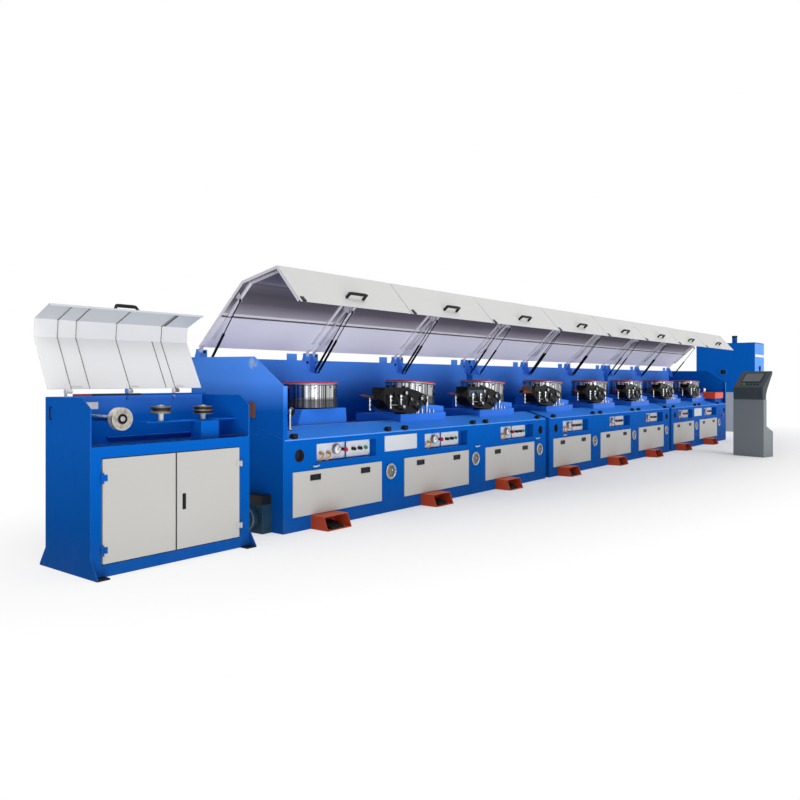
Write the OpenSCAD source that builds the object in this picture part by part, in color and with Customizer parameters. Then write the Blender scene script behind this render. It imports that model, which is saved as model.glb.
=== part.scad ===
// Straight wire drawing line: guide stand, eight drawing blocks on three beds, console and take-up.
// Millimetres, +Z up. X runs along the line from the wire's entry to its exit, Y away from the operator.
// The origin is on the floor, straight under the centre of the first drum.

/* [Beds] */
// Distance from one drawing block to the next
block_pitch = 1475; // [1450:5:1550]
// Depth of a bed from its front face to the back of its wall
bed_depth = 1230; // [1210:5:1280]
// Height of the bed's vertical front face, up to its fold
front_h = 763; // [755:1:785]
// Plain length of bed past its last block
bed_end_margin = 65; // [60:5:120]
// Extra length of the last bed, for the wire's exit
tail_len = 355; // [330:5:450]
// Joint strip between two beds
bed_gap = 110; // [100:5:160]

/* [Enclosure] */
// Height of the rear wall
wall_top = 1457; // [1445:1:1480]
// Sheet thickness of walls, hoods and guards
sheet = 4; // [3:0.5:5]
// Angle through which an open hood swings shut
hood_open_angle = 45; // [42:1:46]
// Diameter of a hinge pin
hinge_pin_d = 16; // [14:1:18]
// Diameter of a gas strut's barrel
strut_d = 24; // [20:1:28]

/* [Bed doors] */
// Width of a lift-off door
door_w = 1130; // [1050:5:1140]
// Height of a lift-off door
door_h = 370; // [340:5:390]
// Height of a door's lower edge above the floor
door_z = 120; // [110:5:130]
// Outer diameter of the bright port ring beside each door
port_ring_d = 150; // [130:2:156]

/* [Control recesses] */
// Width of a control recess
recess_w = 780; // [740:5:800]
// Height of a control recess
recess_h = 158; // [150:1:165]
// Depth of a control recess
recess_deep = 87; // [70:1:100]

/* [Drums] */
// Working diameter of a drum
drum_d = 536; // [530:2:540]
// Diameter of a drum's red rim
rim_d = 556; // [550:2:560]
// Height of a drum from its foot to the top of its rim
drum_h = 230; // [220:1:240]
// Height of a drum's top above the floor
drum_top = 1230; // [1225:1:1240]
// Lean of the second and later drums, downstream
drum_tilt = 5; // [3:0.5:6]

/* [Pedal guards] */
// Width of a pedal guard
guard_w = 290; // [260:5:310]
// Reach of a pedal guard in front of the bed
guard_reach = 200; // [180:5:220]
// Height of a pedal guard
guard_h = 115; // [110:1:125]

/* [Guide stand] */
// Width of the guide stand
stand_w = 1272; // [1260:2:1290]
// Depth of the guide stand's body
stand_depth = 570; // [566:2:590]
// Height of the guide stand's side plates
stand_h = 1136; // [1130:1:1150]
// Gap between the guide stand and the first bed
stand_gap = 433; // [400:5:500]
// Angle through which the stand's open hood swings shut
stand_hood_angle = 120; // [118:1:121]

/* [Console] */
// Height of the console
console_h = 1400; // [1380:5:1440]
// Width of the console's foot
console_w = 520; // [500:5:540]

/* [Take-up] */
// Height of the take-up cabinet
takeup_h = 2163; // [2100:5:2250]
// Height of its grey base
takeup_base_h = 960; // [900:5:1000]

/* [Hidden] */
$fn = 48;

// Fits
running_fit = 0.05;
side_gap = 1;
seat_gap = 0.3;

// Beds and blocks
bed_blocks = [3, 3, 2];
block_bed = [0, 0, 0, 1, 1, 1, 2, 2];
block_in_bed = [0, 1, 2, 0, 1, 2, 0, 1];
door_inset = 100;
drum_y = 520;
drum_from_door_first = 688;
drum_from_door = 762;
first_drum_x = door_inset + drum_from_door_first;

function bed_len(b) = bed_blocks[b] * block_pitch + bed_end_margin + (b == 2 ? tail_len : 0);
function bed_x(b) = b == 0 ? 0 : bed_x(b - 1) + bed_len(b - 1) + bed_gap;
function bed_end(b) = bed_x(b) + bed_len(b);
function door_x(i) = bed_x(block_bed[i]) + block_in_bed[i] * block_pitch + door_inset;
function drum_x(i) = door_x(i) + (first_in_bed(i) ? drum_from_door_first : drum_from_door);
function first_in_bed(i) = block_in_bed[i] == 0;
function last_in_bed(i) = block_in_bed[i] == bed_blocks[block_bed[i]] - 1;
line_end = bed_end(2);

// Deck: a shallow ramp from the front fold up to a lip, and a sunk tray behind it
deck_z = 790;
lip_y = 300;
lip_z = front_h + 82;
lip_t = 20;
function ramp_z(y) = front_h + (lip_z - front_h) * y / (lip_y - lip_t);

// Bright port and dark ports in the bed's front face
port_from_door = 1265;
port_z = 385;
port_bore_d = 95;
port_deep = 60;
port_ring_t = 10;
port_disc_y = 20;
eye_d = 108;
eye_z = 622;
eye_from_start = 180;
eye_from_end = 135;

// Control recess
recess_z = 548;
recess_first_shift = 280;
recess_shift = 340;
function recess_x(i) = door_x(i) + (first_in_bed(i) ? recess_first_shift : recess_shift);

// Rear wall
wall_t = 40;
wall_y = bed_depth - wall_t;
end_plate_t = 12;
end_nose_z = wall_top - 257;
end_shoulder_y = 363;
end_shoulder_z = wall_top - 10;
end_flange_w = 45;
post_w = 60;

// Hood hinge, and the hood's closed profile measured from the hinge axis
hinge_y = bed_depth - 50;
hinge_z = wall_top + 57;
hinge_r = hinge_pin_d / 2;
knuckle_r = hinge_r + 6;
knuckle_w = 36;
lug_t = 8;
lug_r = hinge_r + 10;
hood_edge_shift = 10;
hood_edge_gap = 5;
hood_profile = [
    [-42, 11],
    [end_shoulder_y - 39 - hinge_y, end_shoulder_z + 37 - hinge_z],
    [-57 - hinge_y, end_nose_z + 34 - hinge_z],
    [-31 - hinge_y, front_h + 56 - hinge_z]
];
hood_rib_deep = 26;
hood_rib_low = 18;
hood_leaf = [[0, 0], [0, knuckle_r], [-42, 11], [-75, 9], [-75, 3], [-42, 3]];
hood_rib_inset = 80;
hood_rib_w = 30;
hood_rib_start = 120;

// Bracket plates on the rear wall: hinge pin above, strut pin below
bracket_inset = 40;
lug_from_bracket = 95;
strut_from_bracket = 29;
knuckle_from_plate = 6;
function hood_edge(i) = bed_x(block_bed[i]) + block_in_bed[i] * block_pitch + hood_edge_shift;
function left_bracket_x(i) = first_in_bed(i) ? bed_x(block_bed[i]) + bracket_inset : hood_edge(i);
function right_bracket_x(i) = last_in_bed(i) ? bed_end(block_bed[i]) - bracket_inset : hood_edge(i + 1);
function hood_x0(i) = i == 0 ? 30 : first_in_bed(i)
    ? bed_x(block_bed[i]) - bed_gap / 2 + hood_edge_gap : hood_edge(i) + hood_edge_gap;
function hood_x1(i) = i == 7 ? line_end - 30 : last_in_bed(i)
    ? bed_end(block_bed[i]) + bed_gap / 2 - hood_edge_gap : hood_edge(i + 1) - hood_edge_gap;

// Gas struts, in the plane across the line
strut_foot = [bed_depth - 130, wall_top - 123];
strut_head_closed = [-698, -97];
strut_pin_r = 5;
strut_eye_r = 12;
strut_eye_w = 16;
strut_head_w = 10;
strut_barrel_l = 415;
strut_barrel_wall = 3;
strut_rod_r = 5;
strut_rod_l = 450;
function opened(p) = [
    p.x * cos(hood_open_angle) + p.y * sin(hood_open_angle),
    -p.x * sin(hood_open_angle) + p.y * cos(hood_open_angle)
];
strut_head = [hinge_y, hinge_z] + opened(strut_head_closed);
strut_vector = strut_head - strut_foot;
strut_len = norm(strut_vector);
strut_lean = atan2(-strut_vector.x, strut_vector.y);

// Hood handle
handle_l = 236;
handle_r = 11;
handle_rise = 55;
handle_from_lip = 110;

// Drums and what carries them
hub_r = 40;
hub_wall = 22;
rim_t = 22;
rim_deep = 30;
rim_step = 6;
drum_wall = 12;
drum_web = 16;
drum_foot_h = 14;
drum_taper_h = 60;
drum_hole_r = 7;
drum_z0 = drum_top - drum_h;
drum_mid_z = drum_top - drum_h / 2;
drum_front_y = drum_y - rim_d / 2;
podium_gap = 12;
podium_column_h = 260;
podium_w = 486;
podium_proud = 12;
podium_front_y = drum_front_y - podium_proud;
podium_back_y = 800;
first_podium_front_y = 330;
first_podium_foot = [-328, 332];
first_podium_head = [-258, 312];

// Gearbox housing under the second and later drums
housing_from_door = 195;
housing_w = 785;
housing_front_y = 195;
housing_z = lip_z + 60;

// Wire line, tangent to the drums' front
wire_z = 1068;
wire_y = drum_y - drum_d / 2;
wire_bore_r = 9;

// Guide stand, seen from its own front left foot
stand_x1 = -stand_gap;
stand_x0 = stand_x1 - stand_w;
stand_y0 = -96;
stand_y1 = stand_y0 + stand_depth;
stand_plate_t = 8;
sill_z = 825;
stand_nose_z = stand_h - 70;
stand_shoulder_y = 11;
stand_foot_out = 80;
stand_foot_edge = 12;
stand_flare_z = 130;
stand_frame_t = 30;
stand_floor_z = 60;
stand_tray_z = sill_z - 40;
stand_pad_w = 80;
stand_pad_t = 10;
stand_door_z = 83;
stand_door_h = 665;
stand_door_x0 = stand_x0 + 80;
stand_door_w = 549;
stand_door_t = 20;
stand_door_split = stand_door_x0 + stand_door_w;
door_gap = 6;
door_hinge_out = 6;
door_hinge_y = 11;
door_hinge_z = [150, 608];
door_knuckle_r = 9;
door_knuckle_h = 40;
door_pin_r = 5;
door_block_h = 12;
door_leaf_w = 40;
door_leaf_t = 4;
stand_hinge = [stand_y1 - 8, stand_h + 33];
stand_lug_from_side = [130, 590, 990];
stand_hood_profile = [[-20, 0], [-429, -15], [-534, -88], [-506, -313], [-490, -311]];
stand_hood_inset = 14;

// Moves the whole line so that the first drum stands over the origin
module line_frame() {
    translate([-first_drum_x, -drum_y, 0]) children();
}

// Extrudes a (Y, Z) outline along X
module along_x(x, length) {
    translate([x, 0, 0]) rotate([90, 0, 90]) linear_extrude(length) children();
}

// Extrudes an (X, Z) outline along Y
module along_y(y, length) {
    translate([0, y + length, 0]) rotate([90, 0, 0]) linear_extrude(length) children();
}

// Round bar along X from x
module bar_x(x, length, r) {
    translate([x, 0, 0]) rotate([0, 90, 0]) cylinder(h = length, r = r);
}

// Round bar along Y from y
module bar_y(y, length, r) {
    translate([0, y, 0]) rotate([-90, 0, 0]) cylinder(h = length, r = r);
}

// A folded sheet's outline: an open path and the same path set in by t, mitred at its folds
function unit(v) = v / norm(v);
function left_of(v) = [-v.y, v.x];
function fold_normal(p, i) =
    let (
        before = i > 0 ? left_of(unit(p[i] - p[i - 1])) : left_of(unit(p[1] - p[0])),
        after = i < len(p) - 1 ? left_of(unit(p[i + 1] - p[i])) : before
    ) (before + after) / (1 + before * after);
function inset_path(p, t) = [for (i = [0 : len(p) - 1]) p[i] + t * fold_normal(p, i)];
function reversed(p) = [for (i = [len(p) - 1 : -1 : 0]) p[i]];
module folded(path, t) {
    polygon(concat(path, reversed(inset_path(path, t))));
}

// Beds: closed welded housings with pockets for the controls and ports
joint_inset = 60;
module bed(b) {
    line_frame() color("royalblue") if (b < 2) {
        translate([bed_end(b), joint_inset, joint_inset])
            cube([bed_gap, bed_depth - 2 * joint_inset, front_h - 2 * joint_inset]);
    }
    line_frame() color("royalblue") difference() {
        along_x(bed_x(b), bed_len(b)) polygon([
            [0, 0], [bed_depth, 0], [bed_depth, deck_z], [lip_y, deck_z],
            [lip_y, lip_z], [lip_y - lip_t, lip_z], [0, front_h]
        ]);
        for (i = [0 : 7]) if (block_bed[i] == b) {
            translate([recess_x(i), -1, recess_z]) cube([recess_w, recess_deep + 1, recess_h]);
            translate([door_x(i) + port_from_door, 0, port_z]) bar_y(-1, port_deep + 1, port_bore_d / 2);
        }
        for (x = [bed_x(b) + eye_from_start, bed_end(b) - eye_from_end])
            translate([x, 0, eye_z]) bar_y(-1, port_deep + 1, eye_d / 2);
    }
}

// Plate in the plane across the line that carries a hood hinge and, lower down, the struts
module bracket_plate(x) {
    along_x(x - lug_t / 2, lug_t) difference() {
        union() {
            polygon([
                [hinge_y - lug_r, hinge_z], [strut_foot.x - lug_r, strut_foot.y],
                [strut_foot.x + 6, strut_foot.y - lug_r], [wall_y, strut_foot.y + 20],
                [wall_y, wall_top], [bed_depth - 10, wall_top], [hinge_y + lug_r, hinge_z]
            ]);
            translate(strut_foot) circle(r = lug_r);
            translate([hinge_y, hinge_z]) circle(r = lug_r);
        }
    }
}

module square_lug(x) {
    along_x(x - lug_t / 2, lug_t) union() {
        polygon([
            [hinge_y - lug_r, hinge_z], [wall_y - 30, wall_top], [bed_depth - 10, wall_top],
            [hinge_y + lug_r, hinge_z]
        ]);
        translate([hinge_y, hinge_z]) circle(r = lug_r);
    }
}

module hinge_pin(x, length) {
    translate([0, hinge_y, hinge_z]) bar_x(x, length, hinge_r);
}

// Pin that a strut turns on, with a head at its free end
module strut_pin(x_plate, side) {
    reach = strut_from_bracket + strut_eye_w / 2 + side_gap;
    head = 5;
    translate([x_plate, strut_foot.x, strut_foot.y]) mirror([side < 0 ? 1 : 0, 0, 0]) {
        bar_x(0, reach + head, strut_pin_r);
        bar_x(reach, head, strut_pin_r + 4);
    }
}

// Plate that closes the line's end, with a flange round its front
module end_plate(x) {
    along_x(x, end_plate_t) polygon([
        [0, front_h], [0, end_nose_z], [end_shoulder_y, end_shoulder_z], [wall_y, wall_top],
        [wall_y, deck_z], [lip_y, deck_z], [lip_y, lip_z], [lip_y - lip_t, lip_z]
    ]);
}
module end_flange(x) {
    along_x(x, end_flange_w) polygon([
        [0, front_h], [0, end_nose_z], [sheet, end_nose_z], [sheet, ramp_z(sheet)]
    ]);
}

// Rear wall of one bed: a folded sheet with posts and the hood brackets
module back_wall(b) {
    x0 = bed_x(b);
    x1 = bed_end(b);
    line_frame() color("royalblue") {
        along_x(x0, x1 - x0) polygon([
            [wall_y, deck_z], [wall_y + sheet, deck_z], [wall_y + sheet, wall_top - sheet],
            [bed_depth - sheet, wall_top - sheet], [bed_depth - sheet, wall_top - wall_t],
            [bed_depth, wall_top - wall_t], [bed_depth, wall_top], [wall_y, wall_top]
        ]);
        if (b == 0) {
            end_plate(x0);
            end_flange(x0);
        }
        if (b == 2) {
            end_plate(x1 - end_plate_t);
            end_flange(x1 - end_flange_w);
        }
        for (i = [0 : 7]) if (block_bed[i] == b) {
            left_pin_x = left_bracket_x(i);
            right_pin_x = right_bracket_x(i) - lug_from_bracket;
            pin_l = lug_t / 2 + knuckle_from_plate + knuckle_w + side_gap;
            bracket_plate(left_bracket_x(i));
            if (last_in_bed(i)) bracket_plate(right_bracket_x(i));
            square_lug(right_pin_x);
            hinge_pin(left_pin_x, pin_l);
            hinge_pin(right_pin_x, pin_l);
            strut_pin(left_bracket_x(i), 1);
            strut_pin(right_bracket_x(i), -1);
            translate([left_bracket_x(i) - post_w / 2, wall_y + sheet, deck_z])
                cube([post_w, wall_t - sheet, wall_top - wall_t - deck_z]);
        }
    }
}

// Lift-off doors with two flush latches each
latch_w = 125;
latch_h = 50;
latch_rim = 8;
latch_proud = 4;
latch_z = 405;
latch_from_door = [195, 835];
door_t = 8;
module bed_doors() {
    line_frame() color("gainsboro") for (i = [0 : 7]) {
        difference() {
            translate([door_x(i), -door_t, door_z]) cube([door_w, door_t, door_h]);
            for (x = latch_from_door)
                translate([door_x(i) + x + latch_rim, -door_t - 1, latch_z + latch_rim])
                    cube([latch_w - 2 * latch_rim, door_t - 1, latch_h - 2 * latch_rim]);
        }
        for (x = latch_from_door) difference() {
            translate([door_x(i) + x, -door_t - latch_proud, latch_z]) cube([latch_w, latch_proud, latch_h]);
            translate([door_x(i) + x + latch_rim, -door_t - latch_proud - 1, latch_z + latch_rim])
                cube([latch_w - 2 * latch_rim, latch_proud + 2, latch_h - 2 * latch_rim]);
        }
    }
}

// White plates in the recesses, with gauge, fittings, knobs and a button
plate_t = 3;
name_plate_t = 2;
name_plate_h = 146;
name_plates = [[1280, 500, 576], [10470, 440, 568]];
panel_rim = 8;
panel_split = [716, 740];
small_panel_w = 320;
// Gauge and knobs: distance from the door's edge, height from the plate's middle, radius and length
knobs = [
    [590, 10, 42, 30], [680, 5, 14, 40], [400, -10, 11, 32], [490, -10, 11, 32],
    [820, 0, 15, 28], [905, 0, 15, 28], [990, 0, 13, 14]
];
module control_panels() {
    line_frame() color("white") for (i = [0 : 7]) {
        x = door_x(i);
        z = recess_z + recess_h / 2;
        translate([recess_x(i) + panel_rim, recess_deep - plate_t, recess_z + panel_rim])
            cube([x + panel_split[0] - recess_x(i) - panel_rim, plate_t, recess_h - 2 * panel_rim]);
        translate([x + panel_split[1], recess_deep - plate_t, recess_z + panel_rim])
            cube([small_panel_w, plate_t, recess_h - 2 * panel_rim]);
        for (k = knobs) translate([x + k[0], 0, z + k[1]]) bar_y(recess_deep - plate_t - k[3], k[3], k[2]);
    }
    line_frame() color("white") for (p = name_plates)
        translate([p[0], -name_plate_t, p[2]]) cube([p[1], name_plate_t, name_plate_h]);
}

// Bright rings with a recessed disc, one beside each door
module port_rings() {
    line_frame() color("silver") for (i = [0 : 7])
        translate([door_x(i) + port_from_door, 0, port_z]) {
            difference() {
                bar_y(-port_ring_t, port_ring_t, port_ring_d / 2);
                bar_y(-port_ring_t - 1, port_ring_t + 2, port_bore_d / 2);
            }
            bar_y(port_disc_y, port_deep - port_disc_y, port_bore_d / 2);
        }
}

// Black rests along the fold, on which the closed hoods lie
rest_w = 50;
rest_h = 45;
rest_from_door = [0, 1215];
module hood_rests() {
    line_frame() color("dimgray") for (i = [0 : 7], x = rest_from_door)
        along_x(door_x(i) + x, rest_w) polygon([
            [0, front_h], [-14, front_h + 8], [-14, front_h + rest_h - 10], [-4, front_h + rest_h],
            [24, front_h + rest_h], [44, ramp_z(44)]
        ]);
}

// Gearbox podiums under the drums, each with the shaft end that its drum turns on
module drum_shaft() {
    foot_z = -drum_h / 2 - podium_gap;
    translate([0, 0, foot_z]) cylinder(h = podium_gap - side_gap, r = hub_r + hub_wall);
    translate([0, 0, foot_z]) cylinder(h = drum_h - rim_t + podium_gap, r = hub_r);
}
module first_podium() {
    top = drum_z0 - podium_gap;
    depth = podium_back_y - first_podium_front_y;
    along_y(first_podium_front_y, depth) translate([drum_x(0), 0]) polygon([
        [first_podium_foot[0], deck_z], [first_podium_foot[1], deck_z],
        [first_podium_head[1], top], [first_podium_head[0], top]
    ]);
    translate([drum_x(0), drum_y, drum_mid_z]) drum_shaft();
}
module leaning_podium(i) {
    depth = podium_back_y - podium_front_y;
    difference() {
        translate([drum_x(i), drum_y, drum_mid_z]) rotate([0, drum_tilt, 0]) {
            translate([-podium_w / 2, podium_front_y - drum_y, -drum_h / 2 - podium_gap - podium_column_h])
                cube([podium_w, depth, podium_column_h]);
            drum_shaft();
        }
        translate([drum_x(i) - podium_w, 0, 0]) cube([2 * podium_w, bed_depth, housing_z]);
    }
    along_x(door_x(i) + housing_from_door, housing_w) polygon([
        [housing_front_y, ramp_z(housing_front_y) + seat_gap], [housing_front_y, housing_z],
        [podium_back_y, housing_z],
        [podium_back_y, deck_z], [lip_y, deck_z], [lip_y, lip_z], [lip_y - lip_t, lip_z + seat_gap]
    ]);
}
module drum_podiums() {
    line_frame() color("royalblue") {
        first_podium();
        for (i = [1 : 7]) leaning_podium(i);
    }
}

// A drum: rim, wall and hub in one turned casting, open below
module drum(i) {
    tilt = i == 0 ? 0 : drum_tilt;
    r = drum_d / 2;
    rim_r = rim_d / 2;
    rim_z = drum_h - rim_t;
    web_z = rim_z - drum_web;
    bore_r = hub_r + running_fit;
    line_frame() color("silver") translate([drum_x(i), drum_y, drum_mid_z]) rotate([0, tilt, 0])
        translate([0, 0, -drum_h / 2]) difference() {
            rotate_extrude($fn = 96) polygon([
                [bore_r, 0], [hub_r + hub_wall, 0], [hub_r + hub_wall, web_z], [r - drum_wall, web_z],
                [r - drum_wall, 0], [r + 4, 0], [r + 4, drum_foot_h], [r - 2, drum_taper_h],
                [r, drum_taper_h + 6], [r, rim_z - 8], [rim_r, rim_z], [rim_r, drum_h],
                [rim_r - rim_deep, drum_h], [rim_r - rim_deep, rim_z + rim_step],
                [hub_r + hub_wall, rim_z + rim_step], [hub_r + hub_wall, drum_h - rim_step],
                [bore_r, drum_h - rim_step]
            ]);
            for (a = [0 : 60 : 300]) rotate(a) translate([0, 0, web_z - drum_hole_r - 5])
                rotate([0, 90, 0]) translate([0, 0, r - drum_wall - 2])
                    cylinder(h = drum_wall + 4, r = drum_hole_r);
        }
}

// Hood panel in its closed place about the hinge axis, turned up to its open rest
module hood(i) {
    x0 = hood_x0(i);
    x1 = hood_x1(i);
    left_knuckle = left_bracket_x(i) + lug_t / 2 + knuckle_from_plate;
    right_knuckle = right_bracket_x(i) - lug_from_bracket + lug_t / 2 + knuckle_from_plate;
    left_strut = left_bracket_x(i) + strut_from_bracket;
    right_strut = right_bracket_x(i) - strut_from_bracket;
    line_frame() translate([0, hinge_y, hinge_z]) rotate([-hood_open_angle, 0, 0]) {
        color("gainsboro") difference() {
            union() {
                along_x(x0, x1 - x0) folded(hood_profile, sheet);
                for (x = [x0, x1 - sheet]) hood_rib(x, sheet, hood_rib_deep);
                for (x = [x0 + hood_rib_inset, x1 - hood_rib_inset - hood_rib_w])
                    hood_rib(x, hood_rib_w, hood_rib_low);
                along_x(x0 + sheet, x1 - x0 - 2 * sheet) hood_stringer();
                for (x = [left_knuckle, right_knuckle]) {
                    bar_x(x, knuckle_w, knuckle_r);
                    along_x(x, knuckle_w) polygon(hood_leaf);
                }
                strut_lug(left_strut + strut_head_w / 2 + side_gap);
                strut_lug(right_strut - strut_head_w / 2 - side_gap - sheet);
            }
            bar_x(x0, x1 - x0, hinge_r + running_fit);
        }
        color("black") hood_handle((x0 + x1) / 2);
    }
}

// Stiffening rib across the hood, on the inside of its folds
module hood_rib(x, w, deep) {
    p = hood_profile;
    start = p[0] + unit(p[1] - p[0]) * hood_rib_start;
    end = p[3] + unit(p[2] - p[3]) * 20;
    along_x(x, w) folded([start, p[1], p[2], end], deep);
}

// Angle section along the hood, half way up its rear panel
module hood_stringer() {
    p = hood_profile;
    d = unit(p[1] - p[0]);
    n = left_of(d);
    a = p[0] + d * norm(p[1] - p[0]) / 2;
    polygon([a, a + 30 * d, a + 30 * d + 7 * n, a + sheet * d + 7 * n, a + sheet * d + 26 * n, a + 26 * n]);
}

// Lug that a strut's eye lies beside
module strut_lug(x) {
    head = strut_head_closed;
    along_x(x, sheet) union() {
        polygon([
            head + [-12, 0], head + [-30, 72], head + [30, 70], head + [12, 0]
        ]);
        translate(head) circle(r = 12);
    }
}

module hood_handle(x) {
    p = hood_profile;
    d = unit(p[2] - p[3]);
    n = left_of(d);
    foot = p[3] + d * handle_from_lip;
    translate([x, foot.x, foot.y]) rotate([atan2(n.y, n.x), 0, 0]) {
        for (s = [-1, 1]) translate([s * (handle_l / 2 - handle_r), 0, 0])
            bar_y(-1, handle_rise + 1, handle_r);
        translate([0, handle_rise, 0]) bar_x(-handle_l / 2, handle_l, handle_r);
    }
}

// Gas struts: barrels below on the wall's pins, rods above
module strut_at(x) {
    translate([x, strut_foot.x, strut_foot.y]) rotate([strut_lean, 0, 0]) children();
}
module strut_barrel() {
    r = strut_d / 2;
    difference() {
        union() {
            bar_x(-strut_eye_w / 2, strut_eye_w, strut_eye_r);
            cylinder(h = 40, r = 7);
            translate([0, 0, 30]) cylinder(h = strut_barrel_l - 30, r = r);
        }
        bar_x(-strut_eye_w, 2 * strut_eye_w, strut_pin_r + running_fit);
        translate([0, 0, 50]) cylinder(h = strut_barrel_l - 70, r = r - strut_barrel_wall);
        translate([0, 0, 50]) cylinder(h = strut_barrel_l, r = strut_rod_r + running_fit);
    }
}
module strut_rod() {
    translate([0, 0, strut_len - strut_rod_l]) cylinder(h = strut_rod_l - 8, r = strut_rod_r);
    translate([0, 0, strut_len]) bar_x(-strut_head_w / 2, strut_head_w, strut_eye_r);
}
module strut_barrels(i) {
    line_frame() color("black") {
        strut_at(left_bracket_x(i) + strut_from_bracket) strut_barrel();
        strut_at(right_bracket_x(i) - strut_from_bracket) strut_barrel();
    }
}
module strut_rods(i) {
    line_frame() color("black") {
        strut_at(left_bracket_x(i) + strut_from_bracket) strut_rod();
        strut_at(right_bracket_x(i) - strut_from_bracket) strut_rod();
    }
}

// Die gear before the second and later drums, measured from the drum's axis along X
die_front_y = 170;
die_deep_y = 340;
die_back_y = podium_front_y - side_gap;
die_step_x = -315;
die_side = [
    [-905, 1081], [-840, 1178], [-500, 1176], [-285, 1131], [-144, 1034], [-345, 911], [-637, 928],
    [-763, 957]
];
die_plan = [
    [-905, 235], [-905, 275], [-840, die_deep_y], [die_step_x, die_deep_y],
    [die_step_x, die_back_y], [-140, die_back_y], [-140, 190],
    [-260, die_front_y], [-860, die_front_y]
];
die_trough_x = [-800, -470];
die_trough_y = [186, 324];
die_trough_z = 1010;
die_foot_x = [-480, -360];
die_foot_y = housing_front_y + 10;
die_foot_z = 930;
nozzle = [[-1102, 1112], [-1102, 1098], [-880, 1058], [-880, 1098]];
nozzle_w = 30;
post_x = -980;
post_r = 7;
post_foot_z = 958;
post_h = 130;
collar_h = 16;
collar_rise = [0, 45, 85];
arm_t = 12;
arm_into_die = 10;
pin_x = [-790, -627];
pin_y = die_front_y - 24;
pin_z0 = 972;
pin_z1 = 1095;
pin_r = 8;
pin_foot = [20, 13];
pin_cap_r = 21;
pin_caps = [[46, 8], [14, 14]];
pin_tie = [10, 14];
pin_tie_drop = 72;
link_r = 4;
link_z = 1004;
fan_r = 200;
fan_w = 60;
fan_inset = 20;
fan_x = -960;
fan_z = 990;
fan_cut_z = 1090;
cover_x = -832;
cover_l = 350;
cover_t = 2.5;
cover_z = [1060, 1134];
module die_body(x) {
    difference() {
        union() {
            intersection() {
                along_y(die_front_y, die_deep_y - die_front_y) translate([x, 0]) polygon(die_side);
                translate([x, 0, 0]) linear_extrude(wire_z + fan_r) polygon(die_plan);
            }
            translate([x + die_foot_x[0], die_foot_y, housing_z])
                cube([die_foot_x[1] - die_foot_x[0], die_deep_y - die_foot_y, die_foot_z - housing_z]);
            along_y(wire_y - nozzle_w / 2, nozzle_w) translate([x, 0]) polygon(nozzle);
        }
        translate([x + die_trough_x[0], die_trough_y[0], die_trough_z])
            cube([die_trough_x[1] - die_trough_x[0], die_trough_y[1] - die_trough_y[0], fan_r]);
        translate([x, wire_y, wire_z]) bar_x(die_trough_x[0] - fan_r, fan_r + 1, wire_bore_r);
        translate([x, wire_y, wire_z]) bar_x(die_trough_x[1] - 1, fan_r, wire_bore_r);
    }
}
module fan_guard(x) {
    intersection() {
        along_y(die_front_y + fan_inset, fan_w) translate([x + fan_x, fan_z]) circle(r = fan_r);
        translate([x + fan_x - fan_r, 0, fan_cut_z]) cube([2 * fan_r, bed_depth, fan_r]);
    }
}
module cover_plate(x) {
    translate([x + cover_x, die_front_y - cover_t, cover_z[0]])
        cube([cover_l, cover_t, cover_z[1] - cover_z[0]]);
}
module die_boxes() {
    line_frame() for (i = [1 : 7]) {
        x = drum_x(i);
        color("black") die_body(x);
        if (i == 2) color("slategray") cover_plate(x);
        if (i == 3) color("black") fan_guard(x);
        color("silver") {
            translate([x + post_x, wire_y, post_foot_z]) cylinder(h = post_h, r = post_r);
            for (dz = collar_rise) translate([x + post_x, wire_y, post_foot_z + dz])
                cylinder(h = collar_h, r = 2 * post_r);
            translate([x + post_x, wire_y - arm_t / 2, post_foot_z])
                cube([die_side[7].x - post_x + arm_into_die, arm_t, arm_t]);
        }
    }
}

// Bright guide pins on the dies' fronts, guide rollers before the drums and grease fittings on the housings
roller_x = -107;
roller_y = 209;
roller_r = 16;
roller_z = [977, 1077];
roller_shaft_r = 8;
fitting_x = [-285, -255, -190, -60, 10];
fitting_from_edge = 14;
fitting_r = 10;
fitting_h = [22, 22, 40, 26, 18];
module guide_pin(x) {
    translate([x, pin_y, pin_z0]) cylinder(h = pin_z1 - pin_z0, r = pin_r);
    translate([x, pin_y, pin_z0]) cylinder(h = pin_foot[0], r = pin_foot[1]);
    for (c = pin_caps) translate([x, pin_y, pin_z1 - c[0]]) cylinder(h = c[1], r = pin_cap_r);
    translate([x - pin_tie[0] / 2, pin_y, pin_z1 - pin_tie_drop])
        cube([pin_tie[0], die_front_y - pin_y, pin_tie[1]]);
}
module wire_rollers() {
    line_frame() color("silver") for (i = [1 : 7]) {
        x = drum_x(i);
        for (dx = pin_x) guide_pin(x + dx);
        translate([x, pin_y, link_z]) bar_x(pin_x[0], pin_x[1] - pin_x[0], link_r);
        translate([x + roller_x, roller_y, 0]) {
            translate([0, 0, housing_z]) cylinder(h = roller_z[1] - housing_z, r = roller_shaft_r);
            translate([0, 0, roller_z[0]]) cylinder(h = roller_z[1] - roller_z[0], r = roller_r);
        }
        for (k = [0 : len(fitting_x) - 1])
            translate([x + fitting_x[k], housing_front_y + fitting_from_edge, housing_z])
                cylinder(h = fitting_h[k], r = fitting_r);
    }
}

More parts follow.
